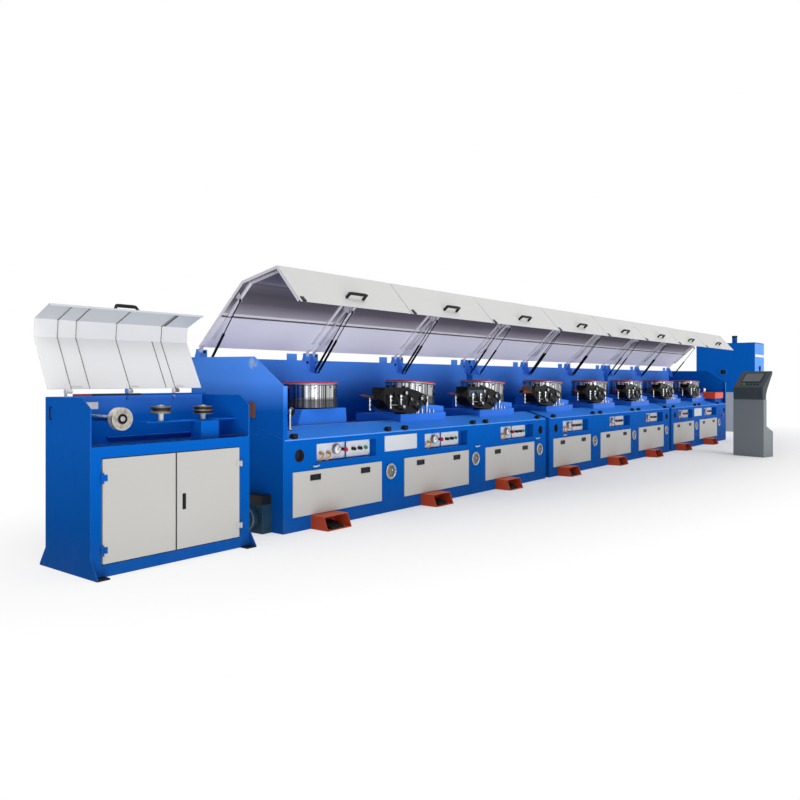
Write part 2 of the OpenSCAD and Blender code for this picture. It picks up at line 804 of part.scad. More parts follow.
// Orange exit guide behind the last drum, on its pedestal, and the brown entry guide on the first end plate
exit_from_end = 690;
exit_l = 560;
exit_y = [20, 310];
exit_z = [880, 1000];
exit_foot_l = 450;
exit_foot_from_end = 20;
exit_foot_y = exit_y[0] + 30;
exit_roller_x = [30, 90];
exit_post_r = 7;
exit_post_h = 86;
exit_roller_r = 18;
exit_roller_h = 40;
entry_t = 14;
entry_y = [345, 410];
entry_z = [935, 1062];
module exit_guide() {
    x = line_end - exit_from_end;
    line_frame() {
        color("orangered")
            translate([x, exit_y[0], exit_z[0]])
                cube([exit_l, exit_y[1] - exit_y[0], exit_z[1] - exit_z[0]]);
        color("royalblue") along_x(x + exit_l - exit_foot_l - exit_foot_from_end, exit_foot_l) polygon([
            [exit_foot_y, ramp_z(exit_foot_y) + seat_gap], [exit_foot_y, exit_z[0]],
            [lip_y - lip_t, exit_z[0]], [lip_y - lip_t, lip_z + seat_gap]
        ]);
        color("silver") for (dx = exit_roller_x) translate([x + dx, wire_y, exit_z[1]]) {
            cylinder(h = exit_post_h, r = exit_post_r);
            translate([0, 0, exit_post_h - exit_roller_h - exit_post_r])
                cylinder(h = exit_roller_h, r = exit_roller_r);
        }
        color("sienna") translate([-entry_t, entry_y[0], entry_z[0]])
            cube([entry_t, entry_y[1] - entry_y[0], entry_z[1] - entry_z[0]]);
    }
}

// Pedal guards on the floor in front of the bed, each with its pedal
guard_from_door = [210, 270, 220, 130, 270, 300, 130, 270];
guard_lean = 45;
pedal_side = 70;
pedal_profile = [[-20, sheet], [-170, sheet], [-170, 22], [-20, 56]];
module pedal_guards() {
    line_frame() color("firebrick") for (i = [0 : 7]) {
        x = door_x(i) + guard_from_door[i];
        difference() {
            along_x(x, guard_w) polygon([
                [0, 0], [-guard_reach, 0], [guard_lean - guard_reach, guard_h], [0, guard_h]
            ]);
            translate([x + sheet, -guard_reach - 1, sheet])
                cube([guard_w - 2 * sheet, guard_reach - sheet + 1, guard_h - 2 * sheet]);
        }
        along_x(x + pedal_side, guard_w - 2 * pedal_side) polygon(pedal_profile);
    }
}

// Guide stand: cabinet with an open chamber on top, standing on flared side plates
module stand_side(x) {
    along_x(x, stand_plate_t) polygon([
        [stand_y0 - stand_foot_out, 0], [stand_y0 - stand_foot_out, stand_foot_edge],
        [stand_y0, stand_flare_z], [stand_y0, stand_nose_z], [stand_shoulder_y, stand_h],
        [stand_y1, stand_h], [stand_y1, stand_flare_z],
        [stand_y1 + stand_foot_out, stand_foot_edge], [stand_y1 + stand_foot_out, 0]
    ]);
}
module stand_cabinet() {
    inner_x = stand_x0 + stand_plate_t;
    inner_w = stand_w - 2 * stand_plate_t;
    line_frame() color("royalblue") {
        stand_side(stand_x0);
        stand_side(stand_x1 - stand_plate_t);
        translate([inner_x, stand_y1 - sheet, 0]) cube([inner_w, sheet, stand_h]);
        translate([inner_x, stand_y0, stand_floor_z]) cube([inner_w, stand_depth - sheet, sheet]);
        translate([inner_x, stand_y0 + stand_frame_t, stand_tray_z])
            cube([inner_w, stand_depth - stand_frame_t - sheet, sheet]);
        for (x = [inner_x, stand_x1 - stand_plate_t - stand_pad_w])
            for (y = [stand_y0 - stand_foot_out, stand_y1])
                translate([x, y, 0]) cube([stand_pad_w, stand_foot_out, stand_pad_t]);
        difference() {
            translate([inner_x, stand_y0, 0]) cube([inner_w, stand_frame_t, sill_z]);
            translate([stand_door_x0 - door_gap, stand_y0 - 1, stand_door_z - door_gap])
                cube([2 * stand_door_w + 2 * door_gap, stand_frame_t + 2, stand_door_h + 2 * door_gap]);
        }
        door_hinge_blocks(stand_door_x0 - door_hinge_out);
        door_hinge_blocks(stand_door_split + stand_door_w + door_hinge_out);
        for (x = stand_lug_from_side) {
            along_x(stand_x0 + x, lug_t) union() {
                polygon([
                    [stand_hinge.x - lug_r, stand_hinge.y], [stand_y1 - sheet - 20, stand_h - 30],
                    [stand_y1 - sheet, stand_h - 30], [stand_y1 - sheet, stand_h], [stand_y1, stand_h],
                    [stand_hinge.x + lug_r, stand_hinge.y]
                ]);
                translate(stand_hinge) circle(r = lug_r);
            }
            translate([0, stand_hinge.x, stand_hinge.y])
                bar_x(stand_x0 + x, lug_t + knuckle_from_plate + knuckle_w + side_gap, hinge_r);
        }
    }
}

// A stand door hung on two outside hinges; side is +1 where it extends to the right of them
module stand_door(hinge_x, side) {
    line_frame() color("gainsboro") translate([hinge_x, stand_y0, 0]) mirror([side < 0 ? 1 : 0, 0, 0])
        difference() {
            union() {
                translate([door_hinge_out + door_gap / 2, -2, stand_door_z])
                    cube([stand_door_w - door_gap, stand_door_t, stand_door_h]);
                for (z = door_hinge_z) translate([0, -door_hinge_y, z]) {
                    cylinder(h = door_knuckle_h, r = door_knuckle_r);
                    translate([0, door_hinge_y - 2 - door_leaf_t, 0])
                        cube([door_leaf_w, door_leaf_t, door_knuckle_h]);
                }
            }
            for (z = door_hinge_z) translate([0, -door_hinge_y, z - 1])
                cylinder(h = door_knuckle_h + 2, r = door_pin_r + running_fit);
        }
}
module stand_door_left() {
    stand_door(stand_door_x0 - door_hinge_out, 1);
}
module stand_door_right() {
    stand_door(stand_door_split + stand_door_w + door_hinge_out, -1);
}
// Hinge blocks and pin on the cabinet, above and below a door's knuckle
module door_hinge_blocks(hinge_x) {
    for (z = door_hinge_z) translate([hinge_x, stand_y0, z]) {
        for (dz = [-door_block_h - side_gap, door_knuckle_h + side_gap])
            translate([-door_knuckle_r, -door_hinge_y - door_knuckle_r, dz])
                cube([2 * door_knuckle_r, door_hinge_y + door_knuckle_r, door_block_h]);
        translate([0, -door_hinge_y, -door_block_h / 2])
            cylinder(h = door_knuckle_h + door_block_h, r = door_pin_r);
    }
}

// The stand's hood: folded sheet with ribs inside, a return along its lip and a handle on it
stand_rib_full = [176, 625, 1013];
stand_rib_short = [312, 932];
stand_rib_t = 5;
stand_rib_deep = 12;
stand_rib_foot = 80;
stand_rib_tick = [14, 20];
stand_handle_x = 606;
stand_handle_l = 180;
stand_handle_r = 7;
stand_handle_rise = 34;
module stand_rib(x, first, last) {
    along_x(x, stand_rib_t) folded([for (i = [first : last]) stand_hood_profile[i]], stand_rib_deep);
}
module stand_hood_handle(x) {
    p = stand_hood_profile;
    d = unit(p[2] - p[3]);
    n = left_of(d);
    foot = p[3] + 30 * d;
    r = stand_handle_r;
    translate([x, foot.x, foot.y]) rotate([atan2(n.y, n.x), 0, 0]) {
        for (s = [-1, 1]) translate([s * (stand_handle_l / 2 - r), 0, 0])
            bar_y(-1, stand_handle_rise + 1, r);
        translate([0, stand_handle_rise, 0]) bar_x(-stand_handle_l / 2, stand_handle_l, r);
    }
}
module stand_hood() {
    x0 = stand_x0 + stand_hood_inset;
    w = stand_w - 2 * stand_hood_inset;
    p = stand_hood_profile;
    line_frame() translate([0, stand_hinge.x, stand_hinge.y]) rotate([-stand_hood_angle, 0, 0]) {
        color("gainsboro") difference() {
            union() {
                along_x(x0, w) folded(p, sheet);
                for (x = stand_rib_full) {
                    stand_rib(stand_x0 + x, 0, 3);
                    along_x(stand_x0 + x, stand_rib_foot)
                        translate(p[0] - [stand_rib_tick[1], stand_rib_deep])
                            square([stand_rib_tick[1] - stand_rib_tick[0], stand_rib_deep]);
                }
                stand_rib(stand_x0 + stand_rib_short[0], 0, 3);
                stand_rib(stand_x0 + stand_rib_short[1], 0, 1);
                for (x = stand_lug_from_side) {
                    bar_x(stand_x0 + x + lug_t + knuckle_from_plate, knuckle_w, knuckle_r);
                    along_x(stand_x0 + x + lug_t + knuckle_from_plate, knuckle_w)
                        polygon([[0, 0], [0, knuckle_r], [-20, 0], [-60, -1], [-60, -8], [-20, -4]]);
                }
            }
            bar_x(x0, w, hinge_r + running_fit);
        }
        color("black") stand_hood_handle(stand_x0 + stand_handle_x);
    }
}

// Vertical sheave that takes the wire in, and the horizontal pulleys behind it
sheave_r = 75;
sheave_w = 55;
sheave_x = stand_x0 + 260;
sheave_z = 993;
sheave_back_y = 25;
sheave_front_y = sheave_back_y - sheave_w;
sheave_nose = 7;
sheave_axle_r = 22;
pulley_r = 74;
pulley_y = 100;
single_x = stand_x0 + 637;
single_z = 1014;
single_w = 50;
double_x = stand_x0 + 995;
double_z = 1000;
double_w = 28;
spindle_r = 10;
groove_deep = 11;
module groove_wheel(r, w, bore_r) {
    rotate_extrude() polygon([
        [bore_r, 0], [r, 0], [r, w / 6], [r - groove_deep, w / 2 - 3], [r - groove_deep, w / 2 + 3],
        [r, w - w / 6], [r, w], [bore_r, w]
    ]);
}
module stand_sheave() {
    line_frame() color("dimgray") translate([sheave_x, sheave_back_y, sheave_z]) rotate([90, 0, 0])
        groove_wheel(sheave_r, sheave_w, spindle_r + running_fit);
}
module stand_pulley_single() {
    line_frame() color("dimgray") translate([single_x, pulley_y, single_z])
        groove_wheel(pulley_r, single_w, spindle_r + running_fit);
}
module stand_pulley_double() {
    line_frame() color("dimgray") translate([double_x, pulley_y, double_z]) {
        groove_wheel(pulley_r, double_w, spindle_r + running_fit);
        translate([0, 0, double_w]) groove_wheel(pulley_r, double_w, spindle_r + running_fit);
    }
}

// Fixed pieces of the stand's chamber: shelf with its bracket, spindles, ledge, rear rail and wire hook
shelf_z = 960;
shelf_t = 8;
shelf_from_side = 500;
shelf_y = [60, 200];
bracket_x = [-809, -655];
bracket_y = [-15, 110];
bracket_z = stand_tray_z + sheet;
post_collar_r = 18;
spindle_top = 10;
ledge_x0 = -1270;
ledge_z = 836;
ledge_h = 10;
ledge_deep = 34;
rail_x0 = -1530;
rail_y = [434, 448];
rail_h = 15;
hook_y = 392;
hook_z = [985, 1070];
hook_r = 4;
hook_out = 14;
module pulley_post(x, z, w) {
    translate([x, pulley_y, shelf_z]) cylinder(h = z - side_gap - shelf_z, r = post_collar_r);
    translate([x, pulley_y, shelf_z]) cylinder(h = z + w + spindle_top - shelf_z, r = spindle_r);
}
module stand_fittings() {
    wall = stand_y1 - sheet;
    line_frame() {
        color("royalblue") {
            translate([stand_x0 + shelf_from_side, shelf_y[0], shelf_z - shelf_t])
                cube([stand_w - shelf_from_side - stand_plate_t, shelf_y[1] - shelf_y[0], shelf_t]);
            translate([bracket_x[0], bracket_y[0], bracket_z])
                cube([bracket_x[1] - bracket_x[0], bracket_y[1] - bracket_y[0],
                    shelf_z - shelf_t - bracket_z]);
            translate([ledge_x0, wall - ledge_deep, ledge_z])
                cube([stand_x1 - stand_plate_t - ledge_x0, ledge_deep, ledge_h]);
        }
        color("white") {
            pulley_post(single_x, single_z, single_w);
            pulley_post(double_x, double_z, 2 * double_w);
        }
        color("silver") translate([sheave_x, 0, sheave_z]) {
            bar_y(sheave_front_y - sheave_nose, wall - sheave_front_y + sheave_nose, spindle_r);
            bar_y(sheave_back_y + side_gap, wall - sheave_back_y - side_gap, sheave_axle_r);
        }
        color("dimgray") {
            translate([rail_x0, rail_y[0], stand_h])
                cube([stand_x1 - rail_x0, rail_y[1] - rail_y[0], rail_h]);
            translate([stand_x0 - hook_out, hook_y, hook_z[0]])
                cylinder(h = hook_z[1] - hook_z[0], r = hook_r);
            for (z = [hook_z[0] + hook_r, hook_z[1] - hook_r])
                translate([0, hook_y, z]) bar_x(stand_x0 - hook_out, hook_out, hook_r);
        }
    }
}

// Motor at the foot of the first bed's end, with its terminal box
motor_l = 135;
motor_y = 290;
motor_z = 115;
motor_r = 95;
motor_flange = [100, 300, 235];
motor_flange_y = 140;
motor_box = [102, 255, 72];
module side_motor() {
    line_frame() {
        color("teal") {
            translate([0, motor_y, motor_z]) bar_x(-motor_l, motor_l, motor_r);
            translate([-motor_flange.x, motor_flange_y, 0]) cube(motor_flange);
        }
        color("black") translate([-motor_box.x, motor_flange_y + 5, motor_flange.z]) cube(motor_box);
    }
}

// Operator's console on the floor in front of the line: closed column, wider foot and leaning head
console_x = 9148;
console_y = -1044;
console_turn = -106;
console_foot_deep = 288;
console_foot_z = [544, 410];
console_column_deep = 90;
console_neck_z = 934;
console_side = 8;
console_head = [
    [0, console_neck_z], [-12, 974], [-12, 1130], [6, 1150], [262, console_h - 14], [272, console_h],
    [288, console_h - 12], [280, console_h - 50], [130, 1110], [console_column_deep, 1010],
    [console_column_deep, console_neck_z]
];
module console() {
    foot_slope = (console_foot_z[1] - console_foot_z[0]) / console_foot_deep;
    column_foot_z = console_foot_z[0] + foot_slope * console_column_deep;
    line_frame() translate([console_x, console_y, 0]) rotate(console_turn) {
        color("dimgray") along_x(0, console_w) polygon([
            [0, 0], [console_foot_deep, 0], [console_foot_deep, console_foot_z[1]],
            [console_column_deep, column_foot_z], [console_column_deep, console_neck_z], [0, console_neck_z]
        ]);
        color("darkslategray") along_x(console_side, console_w - 2 * console_side) polygon(console_head);
    }
}

// Take-up unit at the line's end: grey base, blue cabinet with a wire inlet and a capped post on top
takeup_x = line_end + 2680;
takeup_y0 = 66;
takeup_w = 1360;
takeup_l = 900;
inlet_y = 724;
inlet_z = 1456;
inlet_r = 60;
inlet_boss_r = 108;
inlet_boss_t = 10;
inlet_deep = 200;
inlet_roller = [45, 24];
inlet_roller_over = 5;
cap_post = [150, 493];
cap_post_r = 58;
cap_post_h = 122;
cap_r = 62;
cap_h = 56;
module takeup_base() {
    line_frame() color("lightgray") translate([takeup_x, takeup_y0, 0])
        cube([takeup_l, takeup_w, takeup_base_h]);
}
module takeup_cabinet() {
    line_frame() translate([takeup_x, takeup_y0, 0]) {
        color("royalblue") {
            difference() {
                union() {
                    translate([0, 0, takeup_base_h]) cube([takeup_l, takeup_w, takeup_h - takeup_base_h]);
                    translate([0, inlet_y, inlet_z]) bar_x(-inlet_boss_t, inlet_boss_t, inlet_boss_r);
                    translate([cap_post.x, cap_post.y, takeup_h]) cylinder(h = cap_post_h, r = cap_post_r);
                }
                translate([0, inlet_y, inlet_z]) bar_x(-inlet_boss_t - 1, inlet_deep, inlet_r);
            }
        }
        color("sienna") translate([inlet_roller[0], inlet_y, inlet_z - inlet_r - inlet_roller_over])
            cylinder(h = 2 * (inlet_r + inlet_roller_over), r = inlet_roller[1]);
        color("black") translate([cap_post.x, cap_post.y, takeup_h + cap_post_h])
            cylinder(h = cap_h, r = cap_r);
    }
}

bed(0);  // bed_1
bed(1);  // bed_2
bed(2);  // bed_3
back_wall(0);  // back_wall_1
back_wall(1);  // back_wall_2
back_wall(2);  // back_wall_3
bed_doors();
control_panels();
port_rings();
hood_rests();
drum_podiums();
die_boxes();
wire_rollers();
exit_guide();
pedal_guards();
drum(0);  // drum_1
drum(1);  // drum_2
drum(2);  // drum_3
drum(3);  // drum_4
drum(4);  // drum_5
drum(5);  // drum_6
drum(6);  // drum_7
drum(7);  // drum_8
hood(0);  // hood_1
hood(1);  // hood_2
hood(2);  // hood_3
hood(3);  // hood_4
hood(4);  // hood_5
hood(5);  // hood_6
hood(6);  // hood_7
hood(7);  // hood_8
strut_barrels(0);  // strut_barrels_1
strut_barrels(1);  // strut_barrels_2
strut_barrels(2);  // strut_barrels_3
strut_barrels(3);  // strut_barrels_4
strut_barrels(4);  // strut_barrels_5
strut_barrels(5);  // strut_barrels_6
strut_barrels(6);  // strut_barrels_7
strut_barrels(7);  // strut_barrels_8
strut_rods(0);  // strut_rods_1
strut_rods(1);  // strut_rods_2
strut_rods(2);  // strut_rods_3
strut_rods(3);  // strut_rods_4
strut_rods(4);  // strut_rods_5
strut_rods(5);  // strut_rods_6
strut_rods(6);  // strut_rods_7
strut_rods(7);  // strut_rods_8
stand_cabinet();
stand_fittings();
stand_hood();
stand_door_left();
stand_door_right();
stand_sheave();
stand_pulley_single();
stand_pulley_double();
side_motor();
console();
takeup_base();
takeup_cabinet();
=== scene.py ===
import math

import bmesh
import bpy
from mathutils import Matrix, Vector


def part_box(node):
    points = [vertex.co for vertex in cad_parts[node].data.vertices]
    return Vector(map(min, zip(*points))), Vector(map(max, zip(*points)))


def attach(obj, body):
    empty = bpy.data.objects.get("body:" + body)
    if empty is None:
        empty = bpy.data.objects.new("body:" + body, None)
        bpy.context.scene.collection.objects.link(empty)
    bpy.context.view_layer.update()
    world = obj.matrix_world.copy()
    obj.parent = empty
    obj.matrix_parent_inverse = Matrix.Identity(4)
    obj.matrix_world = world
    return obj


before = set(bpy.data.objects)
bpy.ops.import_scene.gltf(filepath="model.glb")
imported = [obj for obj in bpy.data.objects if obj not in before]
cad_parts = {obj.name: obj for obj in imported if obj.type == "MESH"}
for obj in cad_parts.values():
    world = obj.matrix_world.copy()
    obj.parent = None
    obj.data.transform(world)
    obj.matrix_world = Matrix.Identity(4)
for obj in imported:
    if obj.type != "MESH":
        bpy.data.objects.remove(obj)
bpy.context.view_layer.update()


# Studio: a pale floor that turns to plain white away from the machine, three broad lamps and even light all
# round. The low lamp stands for the light a pale floor throws up under the hoods. The camera is level.
def linear(colour):
    """An sRGB hex colour as Blender's linear one."""
    parts = [int(colour[i:i + 2], 16) / 255 for i in (1, 3, 5)]
    return [p / 12.92 if p <= 0.04045 else ((p + 0.055) / 1.055) ** 2.4 for p in parts] + [1]


def add(tree, kind, settings=None, **inputs):
    """Adds a node; i3= is its fourth input, Base_Color= the one of that name, and a socket makes a link."""
    made = tree.nodes.new(kind)
    for key, value in (settings or {}).items():
        setattr(made, key, value)
    for key, value in inputs.items():
        socket = made.inputs[int(key[1:])] if key[1:].isdigit() else made.inputs[key.replace("_", " ")]
        if isinstance(value, bpy.types.NodeSocket):
            tree.links.new(value, socket)
        else:
            socket.default_value = value
    return made


def blank_material(name):
    """A new material, its emptied tree, and the object coordinates that its patterns read."""
    material = bpy.data.materials.new(name)
    material.use_nodes = True
    tree = material.node_tree
    tree.nodes.clear()
    return material, tree, add(tree, "ShaderNodeTexCoord").outputs["Object"]


scene = bpy.context.scene
scene.view_settings.view_transform = "Standard"
camera = bpy.data.objects.new("camera", bpy.data.cameras.new("camera"))
camera.data.sensor_width = 36
camera.data.lens = 33.92
camera.data.shift_y = -0.0243
camera.data.clip_end = 200
camera.location = (-4.9655, -5.0462, 1.245)
camera.rotation_euler = (math.radians(90), 0, math.atan2(0.6225, 0.7826) - math.radians(90))
scene.collection.objects.link(camera)
scene.camera = camera

floor_material, tree, place = blank_material("pale_studio_floor")
stretched = add(tree, "ShaderNodeMapping", Vector=place, Location=(-0.7, 0, 0), Scale=(0.1, 0.3, 1))
far = add(tree, "ShaderNodeVectorMath", {"operation": "LENGTH"}, i0=stretched.outputs[0])
fade = add(tree, "ShaderNodeMapRange", Value=far.outputs["Value"], From_Min=0.55, From_Max=1.1)
ray = add(tree, "ShaderNodeLightPath")
mirrored = add(tree, "ShaderNodeMath", {"operation": "MAXIMUM"}, i0=ray.outputs["Is Glossy Ray"],
               i1=ray.outputs["Is Transmission Ray"])
seen = add(tree, "ShaderNodeMath", {"operation": "MAXIMUM"}, i0=ray.outputs["Is Camera Ray"],
           i1=mirrored.outputs[0])
white = add(tree, "ShaderNodeEmission", Color=(1, 1, 1, 1), Strength=1.0)
clear = add(tree, "ShaderNodeBsdfTransparent")
beyond = add(tree, "ShaderNodeMixShader", i0=seen.outputs[0], i1=clear.outputs[0], i2=white.outputs[0])
paper = add(tree, "ShaderNodeBsdfDiffuse", Color=linear("#FDFDFD"))
mixed = add(tree, "ShaderNodeMixShader", i0=fade.outputs["Result"], i1=paper.outputs[0], i2=beyond.outputs[0])
add(tree, "ShaderNodeOutputMaterial", Surface=mixed.outputs[0])
floor_mesh = bpy.data.meshes.new("floor")
floor_mesh.from_pydata([(-30, -30, 0), (50, -30, 0), (50, 40, 0), (-30, 40, 0)], [], [(0, 1, 2, 3)])
floor_mesh.materials.append(floor_material)
floor = bpy.data.objects.new("floor", floor_mesh)
scene.collection.objects.link(floor)

world = bpy.data.worlds.new("studio")
world.use_nodes = True
scene.world = world
tree = world.node_tree
tree.nodes.clear()
ray = add(tree, "ShaderNodeLightPath")
mirrored = add(tree, "ShaderNodeMath", {"operation": "MAXIMUM"}, i0=ray.outputs["Is Glossy Ray"],
               i1=ray.outputs["Is Transmission Ray"])
seen = add(tree, "ShaderNodeMath", {"operation": "MAXIMUM"}, i0=ray.outputs["Is Camera Ray"],
           i1=mirrored.outputs[0])
way = add(tree, "ShaderNodeTexCoord").outputs["Generated"]
rise = add(tree, "ShaderNodeSeparateXYZ", i0=way).outputs[2]
ceiling = add(tree, "ShaderNodeMapRange", Value=rise, From_Min=-0.3, From_Max=0.5, To_Min=0.36, To_Max=0.5)
even = add(tree, "ShaderNodeBackground", Color=linear("#FAFAFA"), Strength=ceiling.outputs["Result"])
backdrop = add(tree, "ShaderNodeBackground", Color=(1, 1, 1, 1), Strength=1.0)
both = add(tree, "ShaderNodeMixShader", i0=seen.outputs[0], i1=even.outputs[0], i2=backdrop.outputs[0])
add(tree, "ShaderNodeOutputWorld", Surface=both.outputs[0])
for name, turn, strength, spread in (("front_lamp", (38, 0, -24), 0.9, 30), ("top_lamp", (8, 8, 0), 0.4, 60),
                                   ("low_lamp", (110, 0, -24), 2.6, 50)):
    lamp = bpy.data.lights.new(name, "SUN")
    lamp.energy = strength
    lamp.angle = math.radians(spread)
    lamp_object = bpy.data.objects.new(name, lamp)
    lamp_object.rotation_euler = [math.radians(angle) for angle in turn]
    scene.collection.objects.link(lamp_object)


# Beds: three welded boxes of steel plate with a folded top, sprayed with gloss blue enamel, which looks deep
# and even. Its fronts turn paler towards the top and the deck is paler still: both are painted light for the
# light that falls from above and in front. Sizes are in millimetres from the first bed's foot.
ORIGIN_X, ORIGIN_Y = 788, 520


def row(x, y, z):
    """A place on the machine, in millimetres, as Blender's metres."""
    return Vector(((x - ORIGIN_X) / 1000, (y - ORIGIN_Y) / 1000, z / 1000))


def dress(names, coat, *patches):
    """Gives CAD nodes a material, and a patch's own to the faces whose middle passes its test."""
    for name in names:
        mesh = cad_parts[name].data
        mesh.materials.clear()
        for material in (coat, *[patch[0] for patch in patches]):
            mesh.materials.append(material)
        for face in mesh.polygons:
            middle = face.center
            x, y, z = middle.x * 1000 + ORIGIN_X, middle.y * 1000 + ORIGIN_Y, middle.z * 1000
            face.material_index = next((k + 1 for k, patch in enumerate(patches) if patch[1](x, y, z)), 0)


def enamel(name, colour, gloss=0.32, shade="#000000", share=0.1, dust=0.0, peel=0.03,
           shine=0.14, worn=None, edge=0.002, rubbed="#C9D4E4", painted_light=None):
    """Sprayed enamel on steel: a clear gloss over slow changes of tone, orange peel and a little dust.
    Its edges are rounded by the paint and rubbed paler, and a worn place is rubbed through. Orange peel is
    drawn at 14 mm, coarser than the real 3 mm, so that it shows. A second tone between two heights, when
    given,
    is painted light: a paler tone where more light falls on the upper part."""
    material, tree, place = blank_material(name)
    height = add(tree, "ShaderNodeSeparateXYZ", i0=place).outputs[2]
    cloud = add(tree, "ShaderNodeTexNoise", Vector=place, Scale=0.8, Detail=1.5, Roughness=0.5)
    smear = add(tree, "ShaderNodeTexNoise", Vector=place, Scale=11.0, Detail=3.0, Roughness=0.5)
    grain = add(tree, "ShaderNodeTexNoise", Vector=place, Scale=70.0, Detail=1.0)
    amount = add(tree, "ShaderNodeMapRange", Value=cloud.outputs["Fac"], From_Min=0.35, From_Max=0.7,
                 To_Min=0.0, To_Max=share)
    tone = add(tree, "ShaderNodeMix", {"data_type": "RGBA"}, i0=amount.outputs["Result"], i6=linear(colour),
               i7=linear(shade))
    coat = tone.outputs[2]
    rough = add(tree, "ShaderNodeMapRange", Value=smear.outputs["Fac"], From_Min=0.3, From_Max=0.7,
                To_Min=gloss - 0.02, To_Max=gloss + 0.03).outputs["Result"]
    # Painted light: a paler tone mixed in between two heights.
    if painted_light:
        low, high, pale = painted_light
        rise = add(tree, "ShaderNodeMath", {"operation": "MULTIPLY_ADD"}, i0=cloud.outputs["Fac"], i1=0.12,
                   i2=height)
        painted_light_share = add(tree, "ShaderNodeMapRange", Value=rise.outputs[0], From_Min=low, From_Max=high)
        coat = add(tree, "ShaderNodeMix", {"data_type": "RGBA"}, i0=painted_light_share.outputs["Result"], i6=coat,
                   i7=linear(pale)).outputs[2]
    if dust:
        floor_dust = add(tree, "ShaderNodeMapRange", Value=height, From_Min=0.0, From_Max=0.3, To_Min=dust,
                         To_Max=0.0)
        lying = add(tree, "ShaderNodeMath", {"operation": "MULTIPLY"}, i0=floor_dust.outputs["Result"],
                    i1=smear.outputs["Fac"])
        coat = add(tree, "ShaderNodeMix", {"data_type": "RGBA"}, i0=lying.outputs[0], i6=coat,
                   i7=linear("#8C8A84")).outputs[2]
    if worn:
        gap = add(tree, "ShaderNodeVectorMath", {"operation": "DISTANCE"}, i0=place, i1=worn)
        spot = add(tree, "ShaderNodeMapRange", Value=gap.outputs["Value"], From_Min=0.035, From_Max=0.062,
                   To_Min=0.9, To_Max=0.0)
        patchy = add(tree, "ShaderNodeMapRange", Value=smear.outputs["Fac"], From_Min=0.4, From_Max=0.52)
        bare = add(tree, "ShaderNodeMath", {"operation": "MULTIPLY"}, i0=spot.outputs["Result"],
                   i1=patchy.outputs["Result"])
        coat = add(tree, "ShaderNodeMix", {"data_type": "RGBA"}, i0=bare.outputs[0], i6=coat,
                   i7=linear("#9DBBEA")).outputs[2]
    round_edge = add(tree, "ShaderNodeBevel", {"samples": 3}, Radius=edge)
    facing = add(tree, "ShaderNodeNewGeometry").outputs["True Normal"]
    bend = add(tree, "ShaderNodeVectorMath", {"operation": "DOT_PRODUCT"}, i0=round_edge.outputs[0],
               i1=facing)
    sharp = add(tree, "ShaderNodeMapRange", Value=bend.outputs["Value"], From_Min=0.98, From_Max=0.8,
                To_Min=0.0, To_Max=0.55)
    rub = add(tree, "ShaderNodeMath", {"operation": "MULTIPLY"}, i0=sharp.outputs["Result"],
              i1=smear.outputs["Fac"])
    coat = add(tree, "ShaderNodeMix", {"data_type": "RGBA"}, i0=rub.outputs[0], i6=coat,
               i7=linear(rubbed)).outputs[2]
    bump = add(tree, "ShaderNodeBump", Height=grain.outputs["Fac"], Strength=peel, Distance=0.0006,
               Normal=round_edge.outputs[0])
    shader = add(tree, "ShaderNodeBsdfPrincipled", Base_Color=coat, Roughness=rough, Normal=bump.outputs[0],
                 Specular_IOR_Level=shine)
    add(tree, "ShaderNodeOutputMaterial", Surface=shader.outputs[0])
    return material


BLUE, DEEP_BLUE, PALE_EDGE = "#024C9A", "#02438C", "#7FB0F2"
# The paler tone towards the top of the fronts is painted light.
blue = enamel("gloss_blue_enamel", BLUE, gloss=0.27, shade=DEEP_BLUE, share=0.4, dust=0.06, shine=0.004,
              peel=0.012, edge=0.005, rubbed=PALE_EDGE, painted_light=(0.2, 0.95, "#085BB8"))
# The deck's paler blue is a painted highlight where the light falls on it.
lit_deck_blue = enamel("painted_highlight_deck_enamel", "#3D8AF0", gloss=0.3, shade="#2E78DE", share=0.5, shine=0.004,
                   peel=0.012, edge=0.005, rubbed=PALE_EDGE)
# A pale blue. On the wall's lugs, the bracket plates, the beds' trim and the take-up's doors it is painted
# light.
pale_and_highlight_blue = enamel("pale_blue_and_painted_highlight_enamel", "#5B9AF0", gloss=0.3, shade="#3F82E2", share=0.5, shine=0.02,
                    rubbed="#B4D2FA")
dark_bore = enamel("unlit_bore", "#2E3036", gloss=0.6)
BED_X = [0, 4600, 9200]
BED_END = [4490, 9090, 12570]
DOOR_X = [100, 1575, 3050, 4700, 6175, 7650, 9300, 10775]
DRUM_X = [788, 2337, 3812, 5388, 6937, 8412, 9988, 11537]
DRUM_Z = 1115
EYE_X = [180, 4355, 4780, 8955, 9380, 12435]
# The deck's faces take the painted highlight blue.
dress(["bed_1", "bed_2", "bed_3"], blue,
      (lit_deck_blue, lambda x, y, z: y > 20 and z > 770 and min(abs(x - end) for end in BED_X + BED_END) > 1),
      (dark_bore, lambda x, y, z: 2 < y < 62 and 560 < z < 680 and min(abs(x - eye) for eye in EYE_X) < 56))


